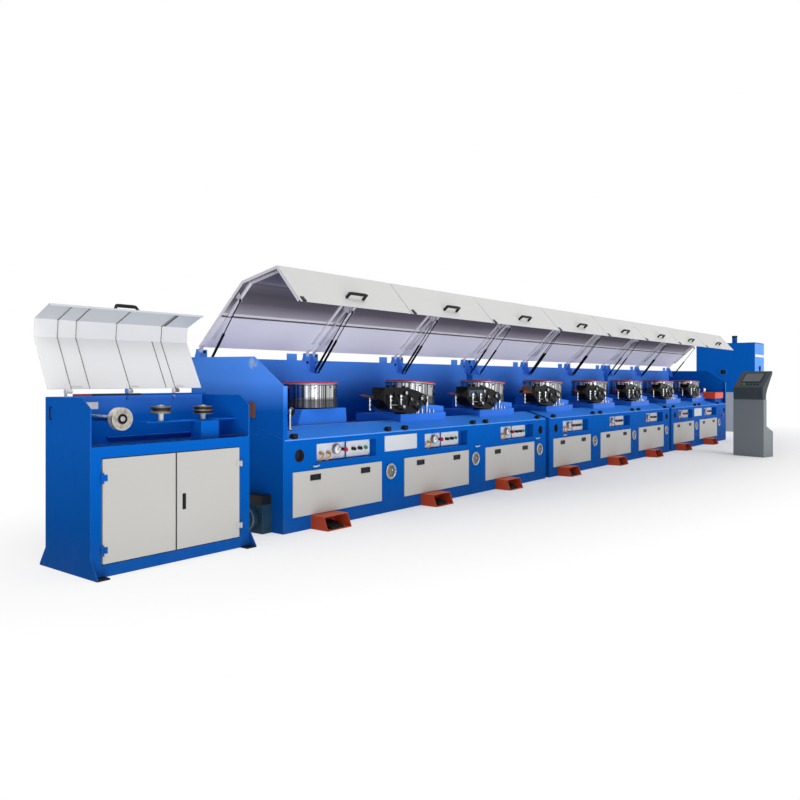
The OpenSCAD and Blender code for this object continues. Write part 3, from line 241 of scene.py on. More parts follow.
# Rear wall: folded sheet behind the drums with posts and hood brackets, in the beds' blue, with painted light
# making it paler towards its top. Black screws hold the brackets. One Geometry Nodes tree puts a hexagon head
# and washer on each point.
def zinc(name, colour, rough):
    """Zinc-plated or turned steel: metal with fine streaks in its roughness."""
    material, tree, place = blank_material(name)
    streak = add(tree, "ShaderNodeTexNoise", Vector=place, Scale=60.0, Detail=3.0)
    uneven = add(tree, "ShaderNodeMapRange", Value=streak.outputs["Fac"], From_Min=0.3, From_Max=0.7,
                 To_Min=rough - 0.06, To_Max=rough + 0.08)
    tone = add(tree, "ShaderNodeMix", {"data_type": "RGBA"}, i0=streak.outputs["Fac"], i6=linear(colour),
               i7=linear("#8A8C8F"))
    bump = add(tree, "ShaderNodeBump", Height=streak.outputs["Fac"], Strength=0.15, Distance=0.0004)
    shader = add(tree, "ShaderNodeBsdfPrincipled", Base_Color=tone.outputs[2], Metallic=1.0,
                 Roughness=uneven.outputs["Result"], Normal=bump.outputs[0])
    add(tree, "ShaderNodeOutputMaterial", Surface=shader.outputs[0])
    return material


bright_zinc = zinc("zinc_plated_steel", "#DADCDD", 0.26)
screw_tree = bpy.data.node_groups.new("hexagon_screws", "GeometryNodeTree")
screw_tree.interface.new_socket("Geometry", in_out="INPUT", socket_type="NodeSocketGeometry")
screw_width = screw_tree.interface.new_socket("Head width", in_out="INPUT", socket_type="NodeSocketFloat")
screw_material = screw_tree.interface.new_socket("Material", in_out="INPUT", socket_type="NodeSocketMaterial")
screw_tree.interface.new_socket("Geometry", in_out="OUTPUT", socket_type="NodeSocketGeometry")
given = add(screw_tree, "NodeGroupInput")
radius = add(screw_tree, "ShaderNodeMath", {"operation": "MULTIPLY"}, i0=given.outputs[1], i1=0.577)
height = add(screw_tree, "ShaderNodeMath", {"operation": "MULTIPLY"}, i0=given.outputs[1], i1=0.8)
washer_r = add(screw_tree, "ShaderNodeMath", {"operation": "MULTIPLY"}, i0=given.outputs[1], i1=0.95)
washer_t = add(screw_tree, "ShaderNodeMath", {"operation": "MULTIPLY"}, i0=given.outputs[1], i1=0.25)
head = add(screw_tree, "GeometryNodeMeshCylinder", Vertices=6, Radius=radius.outputs[0],
           Depth=height.outputs[0])
washer = add(screw_tree, "GeometryNodeMeshCylinder", Vertices=16, Radius=washer_r.outputs[0],
             Depth=washer_t.outputs[0])
lift = add(screw_tree, "ShaderNodeCombineXYZ", Z=washer_t.outputs[0])
raised = add(screw_tree, "GeometryNodeTransform", Geometry=head.outputs[0], Translation=lift.outputs[0])
screw = add(screw_tree, "GeometryNodeJoinGeometry", Geometry=raised.outputs[0])
screw_tree.links.new(washer.outputs[0], screw.inputs[0])
facing = add(screw_tree, "GeometryNodeInputNamedAttribute", {"data_type": "FLOAT_VECTOR"}, Name="direction")
turned = add(screw_tree, "FunctionNodeAlignRotationToVector", {"axis": "Z"}, Vector=facing.outputs[0])
spread = add(screw_tree, "GeometryNodeInstanceOnPoints", Points=given.outputs[0], Instance=screw.outputs[0],
             Rotation=turned.outputs[0])
real = add(screw_tree, "GeometryNodeRealizeInstances", Geometry=spread.outputs[0])
coated = add(screw_tree, "GeometryNodeSetMaterial", Geometry=real.outputs[0], Material=given.outputs[2])
add(screw_tree, "NodeGroupOutput", Geometry=coated.outputs[0])


def grow(name, tree, source, settings, body):
    """Runs a Geometry Nodes tree on a source object once, keeps the result as a plain mesh and rides it."""
    scene.collection.objects.link(source)
    modifier = source.modifiers.new("grow", "NODES")
    modifier.node_group = tree
    for socket, value in settings.items():
        modifier[socket.identifier] = value
    view = bpy.context.evaluated_depsgraph_get()
    mesh = bpy.data.meshes.new_from_object(source.evaluated_get(view), depsgraph=view)
    bpy.data.objects.remove(source)
    mesh.name = name
    piece = bpy.data.objects.new(name, mesh)
    scene.collection.objects.link(piece)
    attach(piece, body)
    return piece


def screws(name, places, width, body, material=bright_zinc):
    """Hexagon screws at (point, direction) pairs in row metres."""
    points = bpy.data.meshes.new(name + "_points")
    points.from_pydata([point for point, _ in places], [], [])
    attribute = points.attributes.new("direction", "FLOAT_VECTOR", "POINT")
    for k, (_, direction) in enumerate(places):
        attribute.data[k].vector = direction
    return grow(name, screw_tree, bpy.data.objects.new(name + "_points", points),
                {screw_width: width, screw_material: material}, body)


def moulded(name, colour, rough=0.5):
    """Moulded plastic or rubber with the fine texture of its mould."""
    material, tree, place = blank_material(name)
    grain = add(tree, "ShaderNodeTexNoise", Vector=place, Scale=220.0, Detail=2.0)
    wear = add(tree, "ShaderNodeTexNoise", Vector=place, Scale=25.0, Detail=2.0)
    uneven = add(tree, "ShaderNodeMapRange", Value=wear.outputs["Fac"], From_Min=0.3, From_Max=0.7,
                 To_Min=rough - 0.08, To_Max=rough + 0.08)
    tone = add(tree, "ShaderNodeMix", {"data_type": "RGBA"}, i0=wear.outputs["Fac"], i6=linear(colour),
               i7=[0.8 * c for c in linear(colour)[:3]] + [1])
    bump = add(tree, "ShaderNodeBump", Height=grain.outputs["Fac"], Strength=0.3, Distance=0.0004)
    shader = add(tree, "ShaderNodeBsdfPrincipled", Base_Color=tone.outputs[2],
                 Roughness=uneven.outputs["Result"], Normal=bump.outputs[0], Specular_IOR_Level=0.2)
    add(tree, "ShaderNodeOutputMaterial", Surface=shader.outputs[0])
    return material


def plate(shape, outline, front, back, paint=0):
    """Adds a flat sheet: an outline of (x, z) corners between two depths, in machine millimetres."""
    near = [shape.verts.new(row(x, front, z)) for x, z in outline]
    rear = [shape.verts.new(row(x, back, z)) for x, z in outline]
    shape.faces.new(near).material_index = paint
    shape.faces.new(rear[::-1]).material_index = paint
    for k in range(len(outline)):
        n = (k + 1) % len(outline)
        shape.faces.new((near[k], rear[k], rear[n], near[n])).material_index = paint


def piece(name, shape, body, *materials, slot=None):
    """Turns a bmesh into a finished piece that rides on a body."""
    bmesh.ops.recalc_face_normals(shape, faces=shape.faces)
    mesh = bpy.data.meshes.new(name)
    shape.to_mesh(mesh)
    shape.free()
    for material in materials:
        mesh.materials.append(material)
    made = bpy.data.objects.new(name, mesh)
    scene.collection.objects.link(made)
    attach(made, body)
    return made


black_nylon = moulded("black_moulded_nylon", "#16171A", 0.42)
# Its paler tone towards the top is painted light.
wall_blue = enamel("wall_blue_enamel", "#085BB8", gloss=0.27, shade=DEEP_BLUE, share=0.3, shine=0.006,
                   peel=0.012, worn=row(0, 371, 1392), edge=0.004, rubbed=PALE_EDGE,
                   painted_light=(1.04, 1.3, "#5497FF"))
# The lugs on top are pale blue, painted light that lifts the shade under the hoods.
dress(["back_wall_1", "back_wall_2", "back_wall_3"], wall_blue,
      (pale_and_highlight_blue, lambda x, y, z: z > 1457.5),
      (blue, lambda x, y, z: x > 12557.5))
BRACKET_X = [40, 1485, 2960, 4450, 4640, 6085, 7560, 9050, 9240, 10685, 12530]
shape = bmesh.new()
wall_screws = []
for x in BRACKET_X:
    left, right = (0 if x == 40 else -100), (0 if x == 12530 else 120)
    outline = [(x + left, 1457), (x + left, 1530), (x + right, 1530), (x + right, 1457)]
    plate(shape, outline, 1197, 1203)
    plate(shape, [(x + left * 0.8, 1456), (x + right * 0.7, 1456), (x + 22, 1345), (x - 22, 1345)],
          1185, 1190)
    if left and x not in (4640, 9240):
        plate(shape, [(x - 330, 1457), (x - 330, 1524), (x - 190, 1524), (x - 190, 1457)], 1197, 1203)
    for side in (left * 0.5, right * 0.5):
        if side:
            wall_screws.append((row(x + side, 1185, 1436), (0, -1, 0)))
            wall_screws.append((row(x + 1.5 * side, 1197, 1508), (0, -1, 0)))
# The bracket plates' pale blue is painted light, lifting the shade under the hoods.
piece("bracket_plates", shape, "line", pale_and_highlight_blue, slot="blue_paint")
screws("bracket_screws", wall_screws, 0.016, "line", black_nylon)
screws("end_plate_screw", [(row(0, 371, 1392), (-1, 0, 0))], 0.012, "line")
shape = bmesh.new()
for end in BED_END[:2]:
    plate(shape, [(end - 14, 796), (end - 14, 1452), (end + 124, 1452), (end + 124, 796)], 1184, 1189.5)
piece("wall_joint_strips", shape, "line", blue, slot="blue_paint")


# Lift-off doors: folded cream-grey panels in front of the beds' motors, each with two black flush latches.
# A latch is a moulded nylon cup with a lifting paddle.
def box(shape, low, high, bevel=0.0, paint=0):
    """Adds a rounded block between two corners in row metres."""
    made = bmesh.ops.create_cube(shape, size=1.0)["verts"]
    size = [h - l for l, h in zip(low, high)]
    middle = [(h + l) / 2 for l, h in zip(low, high)]
    bmesh.ops.transform(shape, verts=made, matrix=Matrix.Translation(middle) @ Matrix.Diagonal((*size, 1)))
    faces = {face for vert in made for face in vert.link_faces}
    for face in faces:
        face.material_index = paint
    if bevel:
        edges = {edge for vert in made for edge in vert.link_edges}
        bmesh.ops.bevel(shape, geom=list(edges), offset=bevel, segments=2, affect="EDGES", material=-1)
    return made


def lathe(shape, base, direction, profile, steps=24, paint=0):
    """Adds a turned solid: profile is (radius, height) pairs in metres along a direction from base. One that
    ends where it starts makes an open ring."""
    hoop = profile[0] == profile[-1]
    if hoop:
        profile = profile[:-1]
    turn = Vector(direction).to_track_quat("Z", "Y").to_matrix()
    rings = []
    for radius, height in profile:
        if radius < 1e-6:
            rings.append([shape.verts.new(turn @ Vector((0, 0, height)) + Vector(base))])
        else:
            rings.append([shape.verts.new(turn @ Vector((radius * math.cos(2 * math.pi * k / steps),
                          radius * math.sin(2 * math.pi * k / steps), height)) + Vector(base))
                          for k in range(steps)])
    for lower, upper in zip(rings, rings[1:] + rings[:1] if hoop else rings[1:]):
        for k in range(steps):
            corners = [lower[k % len(lower)], lower[(k + 1) % len(lower)], upper[(k + 1) % len(upper)],
                       upper[k % len(upper)]]
            corners = [v for n, v in enumerate(corners) if v not in corners[:n]]
            if len(corners) > 2:
                face = shape.faces.new(corners)
                face.material_index = paint
                face.smooth = True
    for ring in (rings[0], rings[-1]):
        if len(ring) > 1 and not hoop:
            shape.faces.new(ring).material_index = paint


def tube(shape, path, radius, steps=10, paint=0):
    """Adds a bent rod or pipe of one thickness along points in row metres, rounded between them."""
    points = [Vector(p) for p in path]
    ends = [2 * points[0] - points[1]] + points + [2 * points[-1] - points[-2]]
    line = []
    for k in range(1, len(ends) - 2):
        a, b, c, d = ends[k - 1:k + 3]
        for s in range(6):
            t = s / 6
            line.append(0.5 * (2 * b + (c - a) * t + (2 * a - 5 * b + 4 * c - d) * t * t
                               + (3 * b - a - 3 * c + d) * t ** 3))
    line.append(points[-1])
    side = None
    rings = []
    for k, point in enumerate(line):
        ahead = (line[min(k + 1, len(line) - 1)] - line[max(k - 1, 0)]).normalized()
        if side is None:
            side = ahead.orthogonal().normalized()
        side = (side - ahead * side.dot(ahead)).normalized()
        up = ahead.cross(side)
        rings.append([shape.verts.new(point + radius * (side * math.cos(2 * math.pi * n / steps)
                      + up * math.sin(2 * math.pi * n / steps))) for n in range(steps)])
    for lower, upper in zip(rings, rings[1:]):
        for n in range(steps):
            face = shape.faces.new((lower[n], lower[(n + 1) % steps], upper[(n + 1) % steps], upper[n]))
            face.material_index = paint
            face.smooth = True
    for ring, flip in ((rings[0], True), (rings[-1], False)):
        face = shape.faces.new(ring[::-1] if flip else ring)
        face.material_index = paint


cream = enamel("cream_grey_enamel", "#B6B5B2", gloss=0.42, shade="#ACABA8", share=0.4, dust=0.12,
               edge=0.003, rubbed="#E4E3DF")
LATCH_X = [195, 835]
dress(["bed_doors"], cream, (black_nylon, lambda x, y, z: 400 < z < 460 and y < -0.5 and min(
    abs(x - door - latch - 62.5) for door in DOOR_X for latch in LATCH_X) < 64))
shape = bmesh.new()
for door in DOOR_X:
    for latch in LATCH_X:
        x = door + latch
        box(shape, row(x + 14, -9, 419), row(x + 111, -3, 448), 0.002)
        box(shape, row(x + 20, -12, 413), row(x + 105, -8, 428), 0.0015)
piece("door_latch_paddles", shape, "line", black_nylon, slot="black_paint")


# Control recesses: two white plates in each, with a pressure gauge, a red-topped regulator, two hose
# fittings, two black knobs and a green button. Turned bezels and a printed dial are made round each gauge.
# The brass is warm and bright, the hoses show amber light, and the moulded caps are an even satin.
white_plate = enamel("white_panel_enamel", "#E6E7E6", gloss=0.38, shade="#D7D9DA", share=0.3)
brass = zinc("brass_fitting", "#C9A25A", 0.28)
amber_hose = moulded("amber_air_hose", "#C98A3C", 0.35)
red_plastic = moulded("red_moulded_cap", "#B3202A", 0.35)
green_plastic = moulded("green_moulded_button", "#1F9A55", 0.3)
gauge_grey = enamel("grey_gauge_case", "#8B8E93", gloss=0.3, shade="#5E6167", share=0.5, shine=0.3)
dial_white = enamel("printed_dial", "#F4F4F1", gloss=0.3, shade="#E2E2DE", share=0.2)


# Places of the fittings, in millimetres to the right of each door's left edge.
HOSES, GAUGE, REGULATOR, KNOBS, BUTTON = (400, 490), 590, 680, (820, 905), 990


def knob_near(x, offsets, reach):
    """Whether x is within reach of a fitting at one of these offsets."""
    return min(abs(x - door - offset) for door in DOOR_X for offset in offsets) < reach


NAME_PLATES = [[1280, 500, 576], [10470, 440, 568]]
plate_silver = enamel("bare_name_plate", "#CDD1D6", gloss=0.3, shade="#AEB4BC", share=0.7)
dress(["control_panels"], white_plate,
      (gauge_grey, lambda x, y, z: 5 < y < 83.5 and knob_near(x, (GAUGE,), 43)),
      (black_nylon, lambda x, y, z: 5 < y < 83.5 and knob_near(x, KNOBS, 43)),
      (black_nylon, lambda x, y, z: 5 < y < 83.5 and knob_near(x, (REGULATOR,), 15)),
      (brass, lambda x, y, z: 5 < y < 83.5 and knob_near(x, HOSES, 12)),
      (green_plastic, lambda x, y, z: 5 < y < 83.5 and knob_near(x, (BUTTON,), 14)),
      (plate_silver, lambda x, y, z: y < 5))
shape = bmesh.new()
for door in DOOR_X:
    x, z = door + GAUGE, 637
    lathe(shape, row(x, 54, z), (0, -1, 0), [(0.042, 0), (0.0455, 0.002), (0.0455, 0.008), (0.042, 0.01),
                                              (0.04, 0.009), (0.04, 0.004), (0, 0.004)], 32, 5)
    lathe(shape, row(x, 50, z), (0, -1, 0), [(0.0395, 0), (0.0395, 0.0015), (0, 0.0015)], 32, 1)
    for k in range(9):
        angle = math.radians(225 - 33.75 * k)
        tick = row(x + 30 * math.cos(angle), 48.2, z + 30 * math.sin(angle))
        box(shape, tick - Vector((0.0014, 0.0004, 0.0032)), tick + Vector((0.0014, 0.0004, 0.0032)), 0, 0)
    tube(shape, [row(x - 8, 47.2, z - 8), row(x + 4, 47.2, z + 4), row(x + 26, 47.2, z + 24)], 0.0026, 6, 2)
    lathe(shape, row(x, 48.4, z), (0, -1, 0), [(0.006, 0), (0.006, 0.003), (0.003, 0.004), (0, 0.004)], 12, 0)
    lathe(shape, row(door + REGULATOR, 44, 632), (0, -1, 0), [(0.015, 0), (0.02, 0.004), (0.02, 0.02),
                                                        (0.015, 0.025), (0, 0.025)], 16, 2)
    for offset in KNOBS:
        lathe(shape, row(door + offset, 56, 627), (0, -1, 0), [(0.012, 0), (0.017, 0.002), (0.016, 0.012),
                                                               (0.013, 0.014), (0, 0.014)], 12, 0)
        box(shape, row(door + offset - 3, 36, 615), row(door + offset + 3, 43, 641), 0.001, 0)
        box(shape, row(door + offset - 1, 35.2, 628), row(door + offset + 1, 36.2, 640), 0, 1)
    lathe(shape, row(door + BUTTON, 70, 627), (0, -1, 0), [(0.018, 0), (0.018, 0.005), (0.0145, 0.006),
                                                        (0.0145, 0), (0.018, 0)], 20, 4)
    lathe(shape, row(door + BUTTON, 65, 627), (0, -1, 0),
          [(0.013, 0), (0.013, 0.012), (0.01, 0.014), (0, 0.014)], 20, 3)
piece("panel_instruments", shape, "line", black_nylon, dial_white, red_plastic, green_plastic, bright_zinc,
      gauge_grey)
shape = bmesh.new()
for door in DOOR_X:
    for offset in HOSES:
        x = door + offset
        lathe(shape, row(x, 60, 617), (0, -1, 0), [(0.014, 0), (0.014, 0.012), (0.009, 0.014), (0.009, 0.02),
                                                   (0, 0.02)], 6, 0)
        tube(shape, [row(x, 52, 617), row(x - 2, 34, 612), row(x - 22, 24, 592), row(x - 46, 22, 570),
                     row(x - 58, 40, 554)], 0.0075, 8, 1)
piece("panel_hose_fittings", shape, "line", brass, amber_hose)
plate_screws = []
for k, door in enumerate(DOOR_X):
    recess = door + (280 if k in (0, 3, 6) else 340)
    for x in (recess + 18, door + 706, door + 750, door + 1050):
        for z in (566, 688):
            plate_screws.append((row(x, 84, z), (0, -1, 0)))
for x, width, z in NAME_PLATES:
    for dx in (12, width - 12):
        for dz in (12, 134):
            plate_screws.append((row(x + dx, -2, z + dz), (0, -1, 0)))
screws("plate_screws", plate_screws, 0.006, "line")


# Ports beside the doors: a turned and polished ring round a bore with a grey-brown cover set back in it. The
# outer bead mirrors the pale room, and the turned face inside it is duller.
PORT_FROM_DOOR, PORT_Z = 1265, 385
chrome = zinc("polished_chrome", "#E4E6E8", 0.12)
ring_steel = zinc("turned_ring_steel", "#A6A7A5", 0.34)
port_grey = enamel("port_cover_enamel", "#857C75", gloss=0.35, shade="#5F5750", share=0.8, shine=0.3)
dress(["port_rings"], ring_steel, (port_grey, lambda x, y, z: y > 3))
shape = bmesh.new()
for door in DOOR_X:
    x = door + PORT_FROM_DOOR
    lathe(shape, row(x, -10, PORT_Z), (0, -1, 0), [(0.074, 0), (0.073, 0.005), (0.068, 0.007), (0.063, 0.005),
                                                 (0.061, 0), (0.074, 0)], 48, 2)
    lathe(shape, row(x, -10, PORT_Z), (0, -1, 0), [(0.0605, 0), (0.0605, 0.0015), (0.048, 0.0015), (0.048, 0),
                                                 (0.0605, 0)], 48, 1)
    lathe(shape, row(x, -0.5, PORT_Z), (0, -1, 0), [(0.047, 0), (0.047, 0.002), (0.04, 0.003), (0, 0.003)],
          32, 1)
    lathe(shape, row(x + 27, -3, 391), (0, -1, 0), [(0.011, 0), (0.011, 0.004), (0.008, 0.006), (0, 0.006)],
          12, 2)
piece("port_ring_faces", shape, "line", ring_steel, port_grey, chrome)
port_screws = []
for door in DOOR_X:
    for k in range(6):
        angle = math.radians(30 + 60 * k)
        spot = row(door + PORT_FROM_DOOR + 55 * math.cos(angle), -11.6, PORT_Z + 55 * math.sin(angle))
        port_screws.append((spot, (0, -1, 0)))
screws("port_ring_screws", port_screws, 0.007, "line")


# Trim on the beds: a folded hem along the front edge, a strip on the lip that is worn grey in front of the
# first drum, and small bright hose elbows on the front. The hem and the rest of the lip strip are pale blue,
# painted highlights along the edges.
rubber = moulded("black_rubber", "#131315", 0.62)
worn_grey = enamel("worn_grey_trim", "#9B978F", gloss=0.5, shade="#75716A", share=0.8, peel=0.4)
shape = bmesh.new()
for start, end in zip(BED_X, BED_END):
    box(shape, row(start + 14, -4, 752), row(end - 14, 0, 763), 0.0015, 0)
    box(shape, row(max(start + 14, 1460), 279, 845), row(end - 14, 301, 846.5), 0.0, 0)
box(shape, row(14, 279, 845), row(1460, 301, 846.8), 0.0, 1)
piece("bed_trim", shape, "line", pale_and_highlight_blue, worn_grey, slot="blue_paint")
shape = bmesh.new()
for x, z in ((339, 521), (2850, 518), (4233, 524), (4990, 520)):
    lathe(shape, row(x, 0, z), (0, -1, 0), [(0.011, 0), (0.011, 0.012), (0.008, 0.014), (0.008, 0.02)], 12)
    tube(shape, [row(x, -16, z), row(x + 2, -26, z), row(x + 16, -30, z + 3), row(x + 42, -30, z + 8)],
         0.007, 8)
lathe(shape, row(12250, 0, 522), (0, -1, 0), [(0.024, 0), (0.024, 0.006), (0.016, 0.007), (0.016, 0.02),
                                              (0.03, 0.022), (0.03, 0.032), (0.022, 0.038), (0, 0.039)],
          20, 1)
piece("front_hose_elbows", shape, "line", bright_zinc, red_plastic)
shape = bmesh.new()
tube(shape, [row(262, 205, 824), row(262, 205, 940), row(268, 208, 985), row(296, 222, 1006),
             row(330, 240, 996)], 0.012, 10, 0)
tube(shape, [row(330, 240, 996), row(345, 262, 968), row(330, 300, 930), row(300, 330, 860),
             row(296, 335, 792)], 0.02, 10, 1)
lathe(shape, row(262, 205, 821), (0, 0, 1), [(0.021, 0), (0.021, 0.014), (0.015, 0.018)], 12, 0)
piece("first_block_pipes", shape, "line", bright_zinc, rubber)


# Hood rests on the fold: black rubber blocks on which the closed hoods lie. They are moulded, screwed down
# and matt.
dress(["hood_rests"], rubber)


# Drum podiums: machined gearbox housings in the beds' blue, bolted to the deck, with bright turned shaft ends
# above them. They catch the light under the hoods, so their blue is paler.
turned_steel = zinc("turned_steel", "#C9CBCD", 0.3)
podium_blue = enamel("podium_blue_enamel", "#2E7BE4", gloss=0.3, shade="#1463CE", share=0.6, edge=0.006,
                     rubbed="#BFD6F8")
dress(["drum_podiums"], podium_blue, (turned_steel, lambda x, y, z: z > 1012))


# Drums: steel turned and polished on the wire's track, with a red enamelled rim. Fine grooves run round the
# wall, drawn 4 mm apart so that they show. They stretch reflections upwards, and bright and dark streaks in
# the steel's colour are painted reflections. Soap darkens the lower third.
def drum_steel(name, x, tilt):
    """Turned and polished steel with painted reflections: bright and dark streaks in its colour round a
    drum's own leaning axis.
    """
    material, tree, place = blank_material(name)
    moved = add(tree, "ShaderNodeVectorMath", {"operation": "SUBTRACT"}, i0=place,
                i1=row(x, ORIGIN_Y, DRUM_Z))
    level = add(tree, "ShaderNodeVectorRotate", {"rotation_type": "Y_AXIS"}, Vector=moved.outputs[0],
                Angle=-tilt)
    part = add(tree, "ShaderNodeSeparateXYZ", i0=level.outputs[0])
    rings = add(tree, "ShaderNodeTexNoise", {"noise_dimensions": "1D"}, W=part.outputs[2], Scale=240.0,
                Detail=2.0)
    around = add(tree, "ShaderNodeMath", {"operation": "ARCTAN2"}, i0=part.outputs[1], i1=part.outputs[0])
    # Painted reflections: bright and dark streaks in the colour round the axis.
    streaks = add(tree, "ShaderNodeTexNoise", {"noise_dimensions": "1D"}, W=around.outputs[0], Scale=9.0,
                  Detail=3.0, Roughness=0.7)
    band = add(tree, "ShaderNodeMapRange", Value=part.outputs[2], From_Min=-0.045, From_Max=-0.015)
    bright = add(tree, "ShaderNodeMapRange", Value=streaks.outputs["Fac"], From_Min=0.42, From_Max=0.6)
    polished = add(tree, "ShaderNodeMix", {"data_type": "RGBA"}, i0=bright.outputs["Result"],
                   i6=linear("#4A4C50"), i7=linear("#E8EAEC"))
    soaped = add(tree, "ShaderNodeMix", {"data_type": "RGBA"}, i0=bright.outputs["Result"],
                 i6=linear("#38383A"), i7=linear("#77777A"))
    tone = add(tree, "ShaderNodeMix", {"data_type": "RGBA"}, i0=band.outputs["Result"],
               i6=soaped.outputs[2], i7=polished.outputs[2])
    rough = add(tree, "ShaderNodeMapRange", Value=band.outputs["Result"], To_Min=0.42, To_Max=0.2)
    bump = add(tree, "ShaderNodeBump", Height=rings.outputs["Fac"], Strength=0.5, Distance=0.0006)
    shader = add(tree, "ShaderNodeBsdfPrincipled", Base_Color=tone.outputs[2], Metallic=1.0,
                 Roughness=rough.outputs["Result"], Normal=bump.outputs[0])
    add(tree, "ShaderNodeOutputMaterial", Surface=shader.outputs[0])
    return material


rim_red = enamel("red_rim_enamel", "#B92E27", gloss=0.3, shade="#8E2320", share=0.4)
for k, x in enumerate(DRUM_X):
    tilt = math.radians(5 if k else 0)
    axis = Vector((math.sin(tilt), 0, math.cos(tilt)))
    across = Vector((math.cos(tilt), 0, -math.sin(tilt)))
    centre = row(x, ORIGIN_Y, DRUM_Z)

    def on_rim(fx, fy, fz, centre=centre, axis=axis):
        return (row(fx, fy, fz) - centre).dot(axis) > 0.0905

    def is_rim(fx, fy, fz, centre=centre, axis=axis):
        way = row(fx, fy, fz) - centre
        return on_rim(fx, fy, fz) and (way - axis * way.dot(axis)).length > 0.245

    steel = drum_steel(f"polished_drum_steel_{k + 1}", x, tilt)
    dress([f"drum_{k + 1}"], steel, (rim_red, is_rim))
    shape = bmesh.new()
    hub = centre + axis * 0.109
    lathe(shape, hub, axis, [(0.062, 0), (0.062, 0.004), (0.05, 0.0055), (0, 0.0055)], 32, 0)
    for n in range(6):
        angle = math.radians(60 * n + 15)
        out = across * math.cos(angle) + Vector((0, 1, 0)) * math.sin(angle)
        lathe(shape, centre + out * 0.2 + axis * 0.099, axis, [(0.009, 0), (0.009, 0.007), (0.005, 0.008),
                                                              (0, 0.008)], 6, 0)
    for angle in [math.radians(a) for a in ((184, -84.5) if k == 0 else (184, -118, -84.5, -70))]:
        out = across * math.cos(angle) + Vector((0, 1, 0)) * math.sin(angle)
        lathe(shape, centre + out * 0.267 + axis * 0.07, out, [(0.009, 0), (0.009, 0.004), (0.006, 0.006),
                                                              (0, 0.006)], 12, 1 if angle > 0 else 2)
    lathe(shape, centre + axis * 0.0925, axis, [(0.2778, 0), (0.2788, 0.001), (0.2788, 0.0095),
                                                (0.2778, 0.0105), (0.2778, 0)], 96, 0)
    piece(f"drum_fixings_{k + 1}", shape, f"drum_{k + 1}", turned_steel, red_plastic, black_nylon,
          slot="drum_steel")


# Die gear in front of the second and later drums: a black cast die holder with soap box and cooling jacket,
# chromed adjusters, hand screws and a nozzle with a rust-red tip. Its oily black is rubbed grey at the edges.
cast_black = enamel("black_cast_enamel", "#0A0A0B", gloss=0.22, shade="#141213", share=0.6, peel=0.2,
                    shine=0.12, edge=0.006, rubbed="#6E6B68")
slate = enamel("slate_plate_enamel", "#4C5566", gloss=0.4, shade="#3A4150", share=0.4)
rust = enamel("rusted_nozzle_tip", "#7E3A26", gloss=0.7, shade="#4A2A20", share=0.8, peel=0.9)
cooling_hose = moulded("dark_cooling_hose", "#1B1B1D", 0.35)
dress(["die_boxes"], cast_black,
      (bright_zinc, lambda x, y, z: min(abs(x - drum + 980) for drum in DRUM_X[1:]) < 16 and z < 1092),
      (rust, lambda x, y, z: min(abs(x - drum + 1075) for drum in DRUM_X[1:]) < 40),
      (slate, lambda x, y, z: y < 169.5 and abs(x - DRUM_X[2] + 657) < 178))
dress(["wire_rollers"], chrome)
shape = bmesh.new()
for x in DRUM_X[1:]:
    for dx, dz in ((-700, 1184), (-610, 1182), (-450, 1172), (-380, 1158)):
        lathe(shape, row(x + dx, 250, dz - 10), (0, 0, 1), [(0.014, 0), (0.014, 0.012), (0.02, 0.014),
                                                            (0.02, 0.026), (0.016, 0.03), (0, 0.03)], 12, 0)
    for dx, z in ((-520, 1120), (-430, 1060), (-350, 1000), (-560, 980), (-260, 1060)):
        lathe(shape, row(x + dx, 170, z), (0, -1, 0), [(0.016, 0), (0.016, 0.01), (0.022, 0.012),
                                                       (0.022, 0.02), (0.01, 0.024), (0, 0.024)], 12, 1)
    tube(shape, [row(x - 700, 168, 1120), row(x - 690, 140, 1060), row(x - 640, 132, 985),
                 row(x - 560, 140, 950), row(x - 500, 168, 975)], 0.010, 8, 0)
    tube(shape, [row(x - 470, 168, 1130), row(x - 440, 138, 1080), row(x - 380, 130, 1000),
                 row(x - 330, 150, 960), row(x - 300, 200, 930)], 0.009, 8, 0)
    tube(shape, [row(x - 260, 168, 1110), row(x - 215, 150, 1090), row(x - 175, 160, 1030),
                 row(x - 165, 205, 990)], 0.008, 8, 0)
    box(shape, row(x - 470, 158, 990), row(x - 330, 172, 1040), 0.003, 0)
    box(shape, row(x - 600, 160, 1060), row(x - 500, 171, 1100), 0.003, 0)
piece("die_gear_fittings", shape, "line", cooling_hose, bright_zinc, slot="black_paint")
shape = bmesh.new()
for x in DRUM_X[1:]:
    for dx in (-790, -627):
        lathe(shape, row(x + dx, 146, 1095), (0, 0, 1),
              [(0.013, 0), (0.013, 0.006), (0.009, 0.01), (0, 0.01)], 12)
        lathe(shape, row(x + dx, 146, 1000), (0, 0, 1), [(0.011, 0), (0.015, 0.004), (0.015, 0.012),
                                                         (0.011, 0.016), (0.011, 0.016)], 12)
    for dx, rise in ((-285, 927), (-255, 927), (-190, 945), (-60, 931), (10, 923)):
        lathe(shape, row(x + dx, 209, rise), (0, 0, 1), [(0.007, 0), (0.007, 0.008), (0.004, 0.014),
                                                         (0.005, 0.018), (0, 0.02)], 10)
piece("pin_and_grease_heads", shape, "line", chrome)


